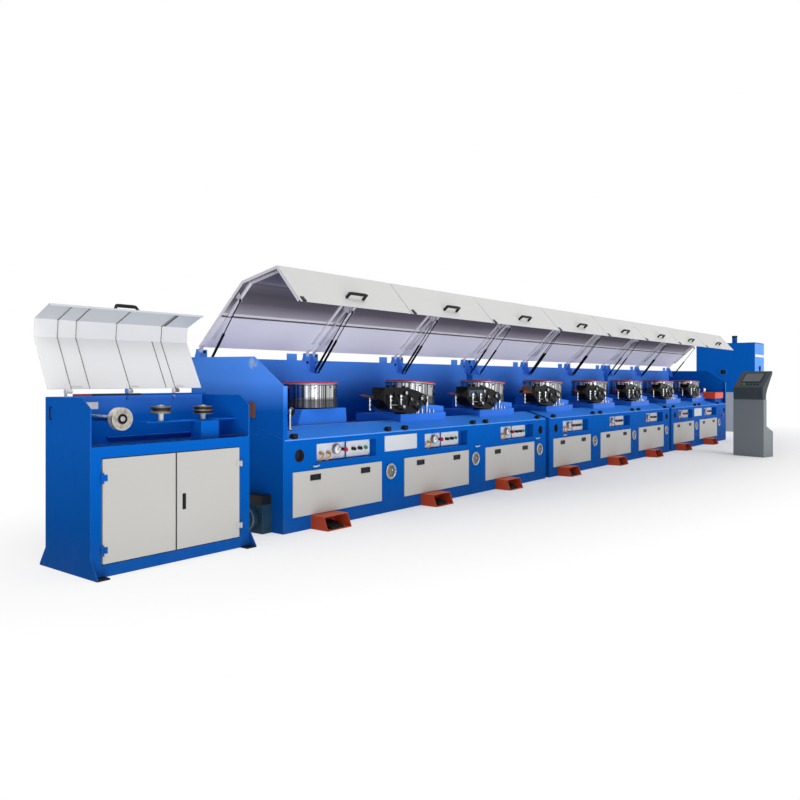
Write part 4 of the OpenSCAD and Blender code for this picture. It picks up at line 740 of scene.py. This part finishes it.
# Exit guide behind the last drum: an orange enamelled box on a blue pedestal with two bright rollers, and a
# brown entry guide on the line's first end plate.
orange = enamel("orange_enamel", "#E64A18", gloss=0.33, shade="#B53A18", share=0.4)
brown = enamel("brown_cast_enamel", "#6A4330", gloss=0.5, shade="#4B3024", share=0.5)
dress(["exit_guide"], blue,
      (brown, lambda x, y, z: x < 1),
      (chrome, lambda x, y, z: z > 1000.5),
      (orange, lambda x, y, z: z > 880.5 or (z > 879.5 and (y < 48 or y > 282))))
screws("exit_guide_screws", [(row(x, 20, z), (0, -1, 0)) for x in (11900, 12160, 12420) for z in (900, 980)],
       0.01, "line")


# Foot pedal guards: welded hoods of steel plate in orange-red enamel, each over a black pedal with ribs. The
# enamel is dusty near the floor.
guard_red = enamel("orange_red_guard_enamel", "#BC431E", gloss=0.38, shade="#96331A", share=0.4, dust=0.12)
GUARD_FROM_DOOR = [210, 270, 220, 130, 270, 300, 130, 270]
dress(["pedal_guards"], guard_red, (rubber, lambda x, y, z: -171 < y < -19 and 3 < z < 58 and min(
    abs(x - door - shift - 145) for door, shift in zip(DOOR_X, GUARD_FROM_DOOR)) < 76))
rib_tree = bpy.data.node_groups.new("repeated_ribs", "GeometryNodeTree")
rib_tree.interface.new_socket("Geometry", in_out="INPUT", socket_type="NodeSocketGeometry")
rib_size = rib_tree.interface.new_socket("Rib size", in_out="INPUT", socket_type="NodeSocketVector")
rib_material = rib_tree.interface.new_socket("Material", in_out="INPUT", socket_type="NodeSocketMaterial")
rib_tree.interface.new_socket("Geometry", in_out="OUTPUT", socket_type="NodeSocketGeometry")
given = add(rib_tree, "NodeGroupInput")
rib = add(rib_tree, "GeometryNodeMeshCube", Size=given.outputs[1])
facing = add(rib_tree, "GeometryNodeInputNamedAttribute", {"data_type": "FLOAT_VECTOR"}, Name="direction")
turned = add(rib_tree, "FunctionNodeAlignRotationToVector", {"axis": "Z"}, Vector=facing.outputs[0])
spread = add(rib_tree, "GeometryNodeInstanceOnPoints", Points=given.outputs[0], Instance=rib.outputs[0],
             Rotation=turned.outputs[0])
real = add(rib_tree, "GeometryNodeRealizeInstances", Geometry=spread.outputs[0])
coated = add(rib_tree, "GeometryNodeSetMaterial", Geometry=real.outputs[0], Material=given.outputs[2])
add(rib_tree, "NodeGroupOutput", Geometry=coated.outputs[0])


def ribs(name, places, size, body, material):
    """Equal bars at (point, up) pairs in row metres; size is in metres."""
    points = bpy.data.meshes.new(name + "_points")
    points.from_pydata([point for point, _ in places], [], [])
    attribute = points.attributes.new("direction", "FLOAT_VECTOR", "POINT")
    for k, (_, direction) in enumerate(places):
        attribute.data[k].vector = direction
    return grow(name, rib_tree, bpy.data.objects.new(name + "_points", points),
                {rib_size: size, rib_material: material}, body)


pedal_up = Vector((0, -34, 150)).normalized()
pedal_ribs = []
for door, shift in zip(DOOR_X, GUARD_FROM_DOOR):
    for n in range(8):
        y = -30 - 18 * n
        pedal_ribs.append((row(door + shift + 145, y, 22 + 34 * (y + 170) / 150 + 1), pedal_up))
ribs("pedal_ribs", pedal_ribs, (0.13, 0.006, 0.005), "line", rubber)


# Hoods: folded sheet in light grey enamel, each with a black handle, hung on pins at the wall and held open
# by two black gas struts. The inside carries painted shade, from near white at the hinge to dark grey under
# the fold; the stringer along it and a strip at the fold are painted dark grey as shade.
hood_grey = enamel("light_grey_hood_enamel", "#C9C9C8", gloss=0.4, shade="#C2C2C2", share=0.35)
hood_ribs = enamel("lilac_grey_rib_enamel", "#DBD8E0", gloss=0.45, shade="#C5C2CB", share=0.4)


def shade_by_height(name, low, high, tones):
    """Grey-lilac enamel with painted shade: tones at shares of the way between two heights in metres."""
    material, tree, place = blank_material(name)
    drift = add(tree, "ShaderNodeTexNoise", Vector=place, Scale=1.5, Detail=3.0)
    height = add(tree, "ShaderNodeSeparateXYZ", i0=place).outputs[2]
    level = add(tree, "ShaderNodeMath", {"operation": "MULTIPLY_ADD"}, i0=drift.outputs["Fac"], i1=0.03,
                i2=height)
    rise = add(tree, "ShaderNodeMapRange", Value=level.outputs[0], From_Min=low, From_Max=high)
    shade_ramp = add(tree, "ShaderNodeValToRGB", i0=rise.outputs["Result"])
    stops = shade_ramp.color_ramp.elements
    for k, (share, colour) in enumerate(tones):
        stop = stops[k] if k < 2 else stops.new(share)
        stop.position = share
        stop.color = linear(colour)
    streak = add(tree, "ShaderNodeMapping", Vector=place, Scale=(14, 0.6, 0.6))
    uneven = add(tree, "ShaderNodeTexNoise", Vector=streak.outputs[0], Scale=2.0, Detail=2.0)
    rough = add(tree, "ShaderNodeMapRange", Value=uneven.outputs["Fac"], From_Min=0.3, From_Max=0.7,
                To_Min=0.36, To_Max=0.5)
    bump = add(tree, "ShaderNodeBump", Height=uneven.outputs["Fac"], Strength=0.1, Distance=0.001)
    shader = add(tree, "ShaderNodeBsdfPrincipled", Base_Color=shade_ramp.outputs[0],
                 Roughness=rough.outputs["Result"], Specular_IOR_Level=0.15, Normal=bump.outputs[0])
    add(tree, "ShaderNodeOutputMaterial", Surface=shader.outputs[0])
    return material


# Painted shade, from near white at the hinge to dark grey under the fold.
shaded_hood_skin = shade_by_height("hood_enamel_painted_shade", 1.55, 2.1, [
    (0.0, "#FFF3F6"), (1.0, "#66616B"), (0.12, "#F6F3FB"), (0.49, "#DEDCE8"), (0.54, "#A7A3AB"),
    (0.64, "#857F88"), (0.73, "#5F5A63"), (0.86, "#524E56")])
shaded_hood_fold = shade_by_height("fold_enamel_painted_shade", 2.09, 2.2, [(0.0, "#A5A1A9"), (1.0, "#4E4A52"),
                                                             (0.35, "#6B6770")])
shaded_hood_lip = shade_by_height("lip_enamel_painted_shade", 1.9, 2.2, [(0.0, "#9A969D"), (1.0, "#8A868D")])
# The stringer's dark grey is painted shade.
stringer_shade_grey = enamel("stringer_enamel_painted_shade", "#5E5A62", gloss=0.5, shade="#4A474D", share=0.5)
hinge = Vector((0, 660, 1514)) / 1000
open_turn = Matrix.Rotation(math.radians(45), 4, "X")


def hood_point(x, y, z):
    """A point of the shut hood, in millimetres from its hinge, turned up to its open rest."""
    way = open_turn.inverted() @ (Vector((0, y, z)) / 1000) + hinge
    return Vector(((x - ORIGIN_X) / 1000, way.y, way.z))


def hood_closed(y, z):
    """A face's place with its hood shut, measured from the hinge in millimetres."""
    way = open_turn @ (Vector((0, y - ORIGIN_Y, z)) / 1000 - hinge)
    return way.y * 1000, way.z * 1000


HOOD_SKIN = [(-42, 11), (-856, -30), (-1237, -280), (-1211, -695)]


def hood_depth(y, z):
    """How far a face's middle lies inside the hood's outer skin, in millimetres."""
    y, z = hood_closed(y, z)
    best = math.inf
    for (ay, az), (by, bz) in zip(HOOD_SKIN, HOOD_SKIN[1:]):
        run = (by - ay) ** 2 + (bz - az) ** 2
        t = max(0, min(1, ((y - ay) * (by - ay) + (z - az) * (bz - az)) / run))
        best = min(best, math.hypot(y - ay - t * (by - ay), z - az - t * (bz - az)))
    return best


def on_stringer(x, y, z):
    """The deep web of the bar that runs along the hood's inside."""
    return hood_depth(y, z) > 8 and -484 < hood_closed(y, z)[0] < -446


def on_lip(x, y, z):
    """The inner face of the last fold, which hangs down in front."""
    return 1.2 < hood_depth(y, z) < 5 and hood_closed(y, z)[0] <= -1196


def on_fold(x, y, z):
    """The inner face of the sloping panel between the two folds."""
    return 1.2 < hood_depth(y, z) < 5 and -1222 < hood_closed(y, z)[0] < -870


def on_skin(x, y, z):
    """The sheet's inner face, which lies under its thickness of 3 mm."""
    return 1.2 < hood_depth(y, z) < 5


def on_rib(x, y, z):
    """All that stands in from the sheet: the ribs, their flanges and lugs."""
    return hood_depth(y, z) >= 5


for k in range(8):
    name = f"hood_{k + 1}"
    low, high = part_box(name)

    def in_handle(x, y, z, middle=(low[0] + high[0]) * 500 + ORIGIN_X):
        across, up = hood_closed(y, z)
        outer = -1211 - (up + 695) * 26 / 415
        return abs(x - middle) < 119.5 and -640 < up < -540 and across < outer - 0.6

    dress([name], hood_grey, (black_nylon, in_handle), (stringer_shade_grey, on_stringer), (shaded_hood_lip, on_lip),
          (shaded_hood_fold, on_fold), (shaded_hood_skin, on_skin), (hood_ribs, on_rib))
    shape = bmesh.new()
    start, end = low[0] * 1000 + ORIGIN_X, high[0] * 1000 + ORIGIN_X
    catch = [(-1211, -698), (-1223, -697), (-1220, -642), (-1208, -643)]
    # A dark strip along the fold, painted shade.
    fold_shade_strip = [(-836, -31), (-852, -32), (-852, -35), (-836, -34)]
    for x, width, corners, paint in ((start + 26, 36, catch, 0), (start + 30, end - start - 60, fold_shade_strip, 1)):
        near = [shape.verts.new(hood_point(x, y, z)) for y, z in corners]
        rear = [shape.verts.new(hood_point(x + width, y, z)) for y, z in corners]
        shape.faces.new(near).material_index = paint
        shape.faces.new(rear[::-1]).material_index = paint
        for n in range(4):
            shape.faces.new((near[n], near[(n + 1) % 4], rear[(n + 1) % 4], rear[n])).material_index = paint
    tube(shape, [hood_point((start + end) / 2 + x, -1217.9 - 0.998 * out, -585.2 - 0.0625 * out)
                 for x, out in ((-110, 8), (-106, 42), (-94, 56), (0, 57), (94, 56), (106, 42), (110, 8))],
         0.0145, 10, 0)
    piece(f"hood_trim_{k + 1}", shape, name, black_nylon, stringer_shade_grey)


strut_black = enamel("black_strut_enamel", "#0E0F11", gloss=0.25, shade="#1C1D20", share=0.3)
for k in range(8):
    dress([f"strut_barrels_{k + 1}"], strut_black)
    dress([f"strut_rods_{k + 1}"], strut_black)


# Motor at the foot of the first bed: a cast body in teal enamel with cooling fins, and a black terminal box.
# Its teal is painted dark, a painted shade for the shadow it stands in.
shaded_teal = enamel("teal_motor_enamel_painted_shade", "#0A3247", gloss=0.4, shade="#082532", share=0.5, dust=0.15)
dress(["side_motor"], shaded_teal, (black_nylon, lambda x, y, z: z > 235.5))
motor_axis = row(0, 290, 115)
fins = []
for n in range(40):
    angle = 2 * math.pi * n / 40
    out = Vector((0, math.cos(angle), math.sin(angle)))
    fins.append((motor_axis + Vector((-0.062, 0, 0)) + out * 0.0975, out))
ribs("motor_fins", fins, (0.118, 0.004, 0.012), "line", shaded_teal)
shape = bmesh.new()
lathe(shape, motor_axis + Vector((-0.135, 0, 0)), (-1, 0, 0), [(0.09, 0), (0.09, 0.004), (0.07, 0.012),
                                                               (0.03, 0.014), (0, 0.014)], 32)
box(shape, row(-98, 180, 258), row(-6, 390, 309), 0.004, 1)
lathe(shape, row(-50, 400, 270), (0, 1, 0), [(0.016, 0), (0.016, 0.02), (0.011, 0.022), (0.011, 0.036),
                                             (0, 0.036)], 12, 1)
piece("motor_end_cover", shape, "line", shaded_teal, black_nylon)


# Guide stand: a welded cabinet in the beds' blue on flared side plates. Its doors are cream-grey like the
# beds' own, with a black swing-handle lock, and its chamber's inner wall carries a bare white label.
SHEAVE_X, SINGLE_X, DOUBLE_X = -1445, -1068, -710
STAND_X0, STAND_X1 = -1705, -433
dress(["stand_cabinet"], blue,
      (black_nylon, lambda x, y, z: x > STAND_X0 + 1 and z < 10.5 and (y < -96.5 or y > 474.5)),
      (pale_and_highlight_blue, lambda x, y, z: z > 1136.5 and abs(x - STAND_X0 - 610) < 60),
      (white_plate, lambda x, y, z: z > 1136.5 and x > STAND_X0 + 9 and x < STAND_X1 - 9),
      (wall_blue, lambda x, y, z: abs(y - 471) < 2 and z < 1136))
dress(["stand_door_left"], cream, (blue, lambda x, y, z: y < -98.2))
dress(["stand_door_right"], cream)
shape = bmesh.new()
box(shape, row(-1030, -100.5, 352), row(-1002, -97, 463), 0.003, 0)
box(shape, row(-1024, -103.5, 392), row(-1008, -100, 458), 0.003, 0)
lathe(shape, row(-1016, -100, 372), (0, -1, 0), [(0.0105, 0), (0.0105, 0.004), (0.008, 0.005), (0, 0.005)],
      16)
piece("stand_door_lock", shape, "stand_door_right", black_nylon, slot="black_paint")
shape = bmesh.new()
box(shape, row(-1085.5, -98.8, 84), row(-1077.5, -98.1, 747), 0.0, 0)
piece("stand_door_seal", shape, "stand_door_left", rubber, slot="black_rubber")
shape = bmesh.new()
box(shape, row(-1450, 469, 1044), row(-1330, 470.4, 1094), 0.0, 0)
box(shape, row(STAND_X0 + 10, -97.2, 843), row(STAND_X1 - 10, -96, 848), 0.0, 1)
tube(shape, [row(STAND_X0 + 14, 30, 850), row(STAND_X0 + 22, 20, 900), row(STAND_X0 + 20, 24, 960),
             row(STAND_X0 + 10, 40, 1000)], 0.003, 6, 1)
piece("stand_label_and_seal", shape, "line", white_plate, rubber)


# The stand's hood: one folded sheet with short flat ribs welded inside. A Geometry Nodes tree lays the weld
# beads along both sides of each rib, drawn 9 mm wide so that they show.
weld_brown = enamel("scorched_weld", "#6B645E", gloss=0.55, shade="#4A443F", share=0.8, peel=1.0)
stand_inside = enamel("stand_hood_inside_enamel", "#DCDCDD", gloss=0.42, shade="#CFCFD1", share=0.4)
stand_hinge = Vector((0, -54, 1169)) / 1000
stand_turn = Matrix.Rotation(math.radians(120), 4, "X")
STAND_PROFILE = [(-20, 0), (-429, -15), (-534, -88), (-506, -313)]


def stand_closed(y, z):
    """A face's place with the stand's hood shut, measured from its hinge in millimetres."""
    way = stand_turn @ (Vector((0, y - ORIGIN_Y, z)) / 1000 - stand_hinge)
    return way.y * 1000, way.z * 1000


def stand_handle(x, y, z):
    """The grip outside the hood's folded edge."""
    cy, cz = stand_closed(y, z)
    outer = -506 - (cz + 313) * 28 / 225
    return abs(x - STAND_X0 - 606) < 91 and cy < outer - 0.6 and -312 < cz < -255


def stand_rib(x, y, z):
    """The near side of each rib and its foot, which are coloured a darker grey."""
    cy, cz = stand_closed(y, z)
    on_side = min(abs(x - STAND_X0 - rib) for rib in (176, 312, 625, 932, 1013)) < 0.6
    on_foot = cy > -21 and cz < -2 and min(abs(x - STAND_X0 - rib - 40) for rib in (176, 625, 1013)) < 42
    return on_side or on_foot


def stand_lip(x, y, z):
    """The inner face of the hood's last fold."""
    cy, cz = stand_closed(y, z)
    return cz < -92 and cy > -534 + (-88 - cz) * 28 / 225 + 0.8


rib_side_grey = enamel("darker_rib_side_enamel", "#7D7C7B", gloss=0.55, shade="#5E5C5A", share=0.8)
# The lip's greyer tone is painted shade: the fold faces down, away from the light.
stand_lip_shade_grey = enamel("stand_hood_lip_painted_shade_enamel", "#C3C7CB", gloss=0.4, shade="#B2B6BB", share=0.5)
dress(["stand_hood"], stand_inside, (black_nylon, stand_handle), (rib_side_grey, stand_rib),
      (stand_lip_shade_grey, stand_lip))
bead_tree = bpy.data.node_groups.new("weld_beads", "GeometryNodeTree")
bead_tree.interface.new_socket("Geometry", in_out="INPUT", socket_type="NodeSocketGeometry")
bead_step = bead_tree.interface.new_socket("Spacing", in_out="INPUT", socket_type="NodeSocketFloat")
bead_size = bead_tree.interface.new_socket("Bead radius", in_out="INPUT", socket_type="NodeSocketFloat")
bead_material = bead_tree.interface.new_socket("Material", in_out="INPUT", socket_type="NodeSocketMaterial")
bead_tree.interface.new_socket("Geometry", in_out="OUTPUT", socket_type="NodeSocketGeometry")
given = add(bead_tree, "NodeGroupInput")
lines = add(bead_tree, "GeometryNodeMeshToCurve", Mesh=given.outputs[0])
dots = add(bead_tree, "GeometryNodeResampleCurve", {"mode": "LENGTH"}, Curve=lines.outputs[0],
           Length=given.outputs[1])
bead = add(bead_tree, "GeometryNodeMeshIcoSphere", Radius=given.outputs[2], Subdivisions=1)
size = add(bead_tree, "FunctionNodeRandomValue", {"data_type": "FLOAT"}, i2=0.6, i3=1.2, Seed=4)
spread = add(bead_tree, "GeometryNodeInstanceOnPoints", Points=dots.outputs[0], Instance=bead.outputs[0],
             Scale=size.outputs[1])
real = add(bead_tree, "GeometryNodeRealizeInstances", Geometry=spread.outputs[0])
coated = add(bead_tree, "GeometryNodeSetMaterial", Geometry=real.outputs[0], Material=given.outputs[3])
add(bead_tree, "NodeGroupOutput", Geometry=coated.outputs[0])


def opened(x, cy, cz):
    """A point of the closed hood in millimetres, turned up to its open rest, in row metres."""
    way = stand_turn.inverted() @ (Vector((0, cy, cz)) / 1000) + stand_hinge
    return Vector(((x - ORIGIN_X) / 1000, way.y, way.z))


shape = bmesh.new()
tube(shape, [opened(STAND_X0 + 606 + x, -509.7 - 0.9923 * out, -283.2 - 0.1235 * out)
             for x, out in ((-98, 2), (-84, 30), (-70, 44), (0, 45), (70, 44), (84, 30), (98, 2))],
     0.0105, 10, 0)
strip = [(1020, -537 + 5.5, -95), (1046, -537 + 5.5, -95), (1046, -509 + 5.5, -308), (1020, -509 + 5.5, -308)]
near = [shape.verts.new(opened(STAND_X0 + x, y, z)) for x, y, z in strip]
rear = [shape.verts.new(opened(STAND_X0 + x, y + 3, z)) for x, y, z in strip]
shape.faces.new(near)
shape.faces.new(rear[::-1])
for n in range(4):
    shape.faces.new((near[n], near[(n + 1) % 4], rear[(n + 1) % 4], rear[n]))
piece("stand_hood_grip", shape, "stand_hood", black_nylon, slot="black_paint")
seams = bpy.data.meshes.new("rib_seams")
points, runs = [], []
for x, first, last in ((176, 0, 3), (312, 0, 3), (625, 0, 3), (932, 0, 1), (1013, 0, 3)):
    for side in (-1.5, 6.5):
        for n in range(first, last):
            (ay, az), (by, bz) = STAND_PROFILE[n], STAND_PROFILE[n + 1]
            length = math.hypot(by - ay, bz - az)
            ny, nz = -(bz - az) / length * 5, (by - ay) / length * 5
            start = 0.12 if n == 0 and x in (312, 932) else 0.02
            for t in (start, 0.98):
                points.append(opened(STAND_X0 + x + side, ay + (by - ay) * t + ny, az + (bz - az) * t + nz))
            runs.append((len(points) - 2, len(points) - 1))
seams.from_pydata(points, runs, [])
grow("stand_rib_welds", bead_tree, bpy.data.objects.new("rib_seams", seams),
     {bead_step: 0.016, bead_size: 0.0035, bead_material: weld_brown}, "stand_hood")


# Wheels of the stand: a bright worn sheave that takes the wire in, and two dark cast pulleys on white posts.
# Their faces carry turning marks, drawn 3 mm apart so that they show.
def worn_wheel(name, centre, axis, face_colour, edge_colour, radius):
    """Cast or turned metal with ring marks round its axis, grime, and a rim that the wire keeps bright."""
    material, tree, place = blank_material(name)
    moved = add(tree, "ShaderNodeVectorMath", {"operation": "SUBTRACT"}, i0=place, i1=centre)
    flat = add(tree, "ShaderNodeVectorMath", {"operation": "MULTIPLY"}, i0=moved.outputs[0],
               i1=[1 - abs(c) for c in axis])
    out = add(tree, "ShaderNodeVectorMath", {"operation": "LENGTH"}, i0=flat.outputs[0])
    marks = add(tree, "ShaderNodeTexNoise", {"noise_dimensions": "1D"}, W=out.outputs["Value"], Scale=300.0)
    grime = add(tree, "ShaderNodeTexNoise", Vector=place, Scale=40.0, Detail=4.0)
    rim = add(tree, "ShaderNodeMapRange", Value=out.outputs["Value"], From_Min=radius - 0.012,
              From_Max=radius - 0.002)
    tone = add(tree, "ShaderNodeMix", {"data_type": "RGBA"}, i0=rim.outputs["Result"],
               i6=linear(face_colour), i7=linear(edge_colour))
    dirty = add(tree, "ShaderNodeMapRange", Value=grime.outputs["Fac"], From_Min=0.45, From_Max=0.75,
                To_Max=0.6)
    coat = add(tree, "ShaderNodeMix", {"data_type": "RGBA"}, i0=dirty.outputs["Result"], i6=tone.outputs[2],
               i7=linear("#3A332C"))
    bump = add(tree, "ShaderNodeBump", Height=marks.outputs["Fac"], Strength=0.5, Distance=0.0006)
    shader = add(tree, "ShaderNodeBsdfPrincipled", Base_Color=coat.outputs[2], Metallic=0.9, Roughness=0.38,
                 Normal=bump.outputs[0])
    add(tree, "ShaderNodeOutputMaterial", Surface=shader.outputs[0])
    return material


dress(["stand_sheave"], worn_wheel("worn_sheave_steel", row(SHEAVE_X, 0, 993), (0, 1, 0), "#B9B4A8",
                                   "#CFCBC2", 0.075))
dress(["stand_pulley_single"], worn_wheel("worn_pulley_iron", row(SINGLE_X, 100, 1039), (0, 0, 1), "#2A2420",
                                          "#7C766D", 0.074))
dress(["stand_pulley_double"], worn_wheel("worn_double_pulley_iron", row(DOUBLE_X, 100, 1028), (0, 0, 1),
                                          "#2A2420", "#7C766D", 0.074))
shape = bmesh.new()
lathe(shape, row(SHEAVE_X, -30, 993), (0, -1, 0), [(0.034, 0), (0.034, 0.003), (0.028, 0.0045), (0, 0.0045)],
      32, 0)
lathe(shape, row(SHEAVE_X, -30, 993), (0, -1, 0), [(0.019, 0.0045), (0.019, 0.0068), (0.015, 0.008),
                                                    (0, 0.008)], 6, 1)
piece("sheave_hub", shape, "stand_sheave", cast_black, bright_zinc)
for name, x, z in (("single_pulley_cap", SINGLE_X, 1064), ("double_pulley_cap", DOUBLE_X, 1056)):
    shape = bmesh.new()
    lathe(shape, row(x, 100, z), (0, 0, 1), [(0.03, 0), (0.03, 0.004), (0.026, 0.006), (0.012, 0.006)], 24, 0)
    piece(name, shape, "stand_pulley_single" if x == SINGLE_X else "stand_pulley_double", bright_zinc)
white_post = enamel("white_post_enamel", "#DADCDE", gloss=0.35, shade="#B8BBC0", share=0.5)
sleeve_red = enamel("red_rail_sleeve", "#B5371F", gloss=0.45, shade="#8E2A18", share=0.4)
sleeve_black = enamel("black_rail_sleeve", "#202226", gloss=0.5, shade="#303338", share=0.4)
dress(["stand_fittings"], blue,
      (pale_and_highlight_blue, lambda x, y, z: x > -700 and x < -560 and y < 95 and 850 < z < 957),
      (strut_black, lambda x, y, z: x < -1700),
      (bright_zinc, lambda x, y, z: abs(x - SHEAVE_X) < 24 and abs(z - 993) < 24),
      (white_post, lambda x, y, z: z > 960.5 and (abs(x - SINGLE_X) < 20 or abs(x - DOUBLE_X) < 20)))

shape = bmesh.new()
box(shape, row(-1530.5, 432, 1136.2), row(-1400, 450, 1153), 0.003, 0)
box(shape, row(-1400, 432, 1136.2), row(-1010, 450, 1153), 0.003, 1)
piece("rail_sleeves", shape, "line", sleeve_red, sleeve_black)


# Console: a folded steel stand in textured grey enamel with a darker head. The screen is black glass in a
# moulded frame, over a row of buttons. Its glass is smudged, so that it shines unevenly.
console_grey = enamel("textured_grey_enamel", "#7E8588", gloss=0.5, shade="#6B7175", share=0.4, peel=0.3)
console_dark = enamel("dark_head_enamel", "#424B50", gloss=0.45, shade="#30373B", share=0.4, peel=0.3)
console_turn = Matrix.Rotation(math.radians(-106), 4, "Z")


def on_console(x, y, z):
    """A place on the console, in millimetres along its width, outwards from its front and up."""
    way = console_turn @ Vector((x, y, 0))
    return row(9148 + way.x, -1044 + way.y, z)


dress(["console"], console_grey, (console_dark, lambda x, y, z: z > 934.5))
screen_glass, tree, place = blank_material("dark_screen_glass")
smudge = add(tree, "ShaderNodeTexNoise", Vector=place, Scale=14.0, Detail=3.0)
greasy = add(tree, "ShaderNodeMapRange", Value=smudge.outputs["Fac"], To_Min=0.05, To_Max=0.22)
shader = add(tree, "ShaderNodeBsdfPrincipled", Base_Color=linear("#1A2630"),
             Roughness=greasy.outputs["Result"], Coat_Weight=0.6, Coat_Roughness=0.03)
add(tree, "ShaderNodeOutputMaterial", Surface=shader.outputs[0])
screen_foot, screen_head = Vector((6, 1150)), Vector((262, 1386))
slope = (screen_head - screen_foot).normalized()
normal = Vector((-slope.y, slope.x))


def on_screen(x, along, out):
    """A place on the sloping head: across it, up its slope and out of it, in millimetres."""
    spot = screen_foot + slope * along + normal * out
    return on_console(x, spot.x, spot.y)


def slab(shape, x0, x1, s0, s1, o0, o1, paint):
    """Adds a flat block on the sloping head."""
    corners = [on_screen(x, s, o) for o in (o0, o1) for x, s in ((x0, s0), (x1, s0), (x1, s1), (x0, s1))]
    verts = [shape.verts.new(corner) for corner in corners]
    for quad in ((0, 1, 2, 3), (4, 5, 6, 7), (0, 1, 5, 4), (1, 2, 6, 5), (2, 3, 7, 6), (3, 0, 4, 7)):
        shape.faces.new([verts[n] for n in quad]).material_index = paint


shape = bmesh.new()
slab(shape, 90, 430, 95, 320, 0.3, 6, 0)
slab(shape, 108, 412, 112, 304, 6, 7.5, 1)
for n, paint in enumerate((2, 3, 4, 4, 4, 4)):
    spot = on_screen(110 + 58 * n, 48, 0.3)
    lathe(shape, spot, on_screen(110 + 58 * n, 48, 40) - spot,
          [(0.017, 0), (0.017, 0.004), (0.012, 0.005), (0.012, 0.014), (0.009, 0.016), (0, 0.016)], 16, paint)
piece("console_screen", shape, "line", black_nylon, screen_glass, red_plastic, green_plastic, black_nylon)


# Take-up unit: a grey base and a closed blue cabinet of sheet steel. Its doors, vents and lifting lugs follow
# such cabinets; the inlet is a dark bore with a brown roller, and a black cap closes the post on top.
base_grey = enamel("base_grey_enamel", "#A9AEBB", gloss=0.42, shade="#949AA8", share=0.4, dust=0.2)
TAKEUP_X, TAKEUP_Y = 15250, 66
dress(["takeup_base"], base_grey)
dress(["takeup_cabinet"], blue,
      (black_nylon, lambda x, y, z: z > 2286),
      (brown, lambda x, y, z: TAKEUP_X + 20 < x < TAKEUP_X + 70 and 1385 < z < 1527 and 760 < y < 820),
      (dark_bore, lambda x, y, z: TAKEUP_X < x < TAKEUP_X + 192 and 1395 < z < 1517 and 728 < y < 852))
shape = bmesh.new()
for y0, y1 in ((90, 660), (700, 1400)):
    box(shape, row(TAKEUP_X - 3, y0, 1000), row(TAKEUP_X, y1, 1330), 0.0012, 0)
# The front doors' pale blue is painted light on the face towards the lamps.
box(shape, row(TAKEUP_X + 10, TAKEUP_Y - 3, 980), row(TAKEUP_X + 445, TAKEUP_Y, 2140), 0.0012, 1)
box(shape, row(TAKEUP_X + 455, TAKEUP_Y - 3, 980), row(TAKEUP_X + 890, TAKEUP_Y, 2140), 0.0012, 1)
piece("takeup_panels", shape, "line", blue, pale_and_highlight_blue, slot="blue_paint")
shape = bmesh.new()
box(shape, row(TAKEUP_X + 40, TAKEUP_Y - 5, 1815), row(TAKEUP_X + 860, TAKEUP_Y - 3, 1875), 0.001, 0)
for x in (TAKEUP_X + 410, TAKEUP_X + 490):
    box(shape, row(x - 12, TAKEUP_Y - 22, 1480), row(x + 12, TAKEUP_Y - 3, 1600), 0.004, 1)
piece("takeup_door_fittings", shape, "line", white_plate, black_nylon)
vents = [(row(TAKEUP_X + 900, 400, 1200 + 30 * n), (0, 0, 1)) for n in range(12)]
vents += [(row(TAKEUP_X + 900, 1050, 1200 + 30 * n), (0, 0, 1)) for n in range(12)]
ribs("takeup_vents", vents, (0.01, 0.36, 0.008), "line", blue)
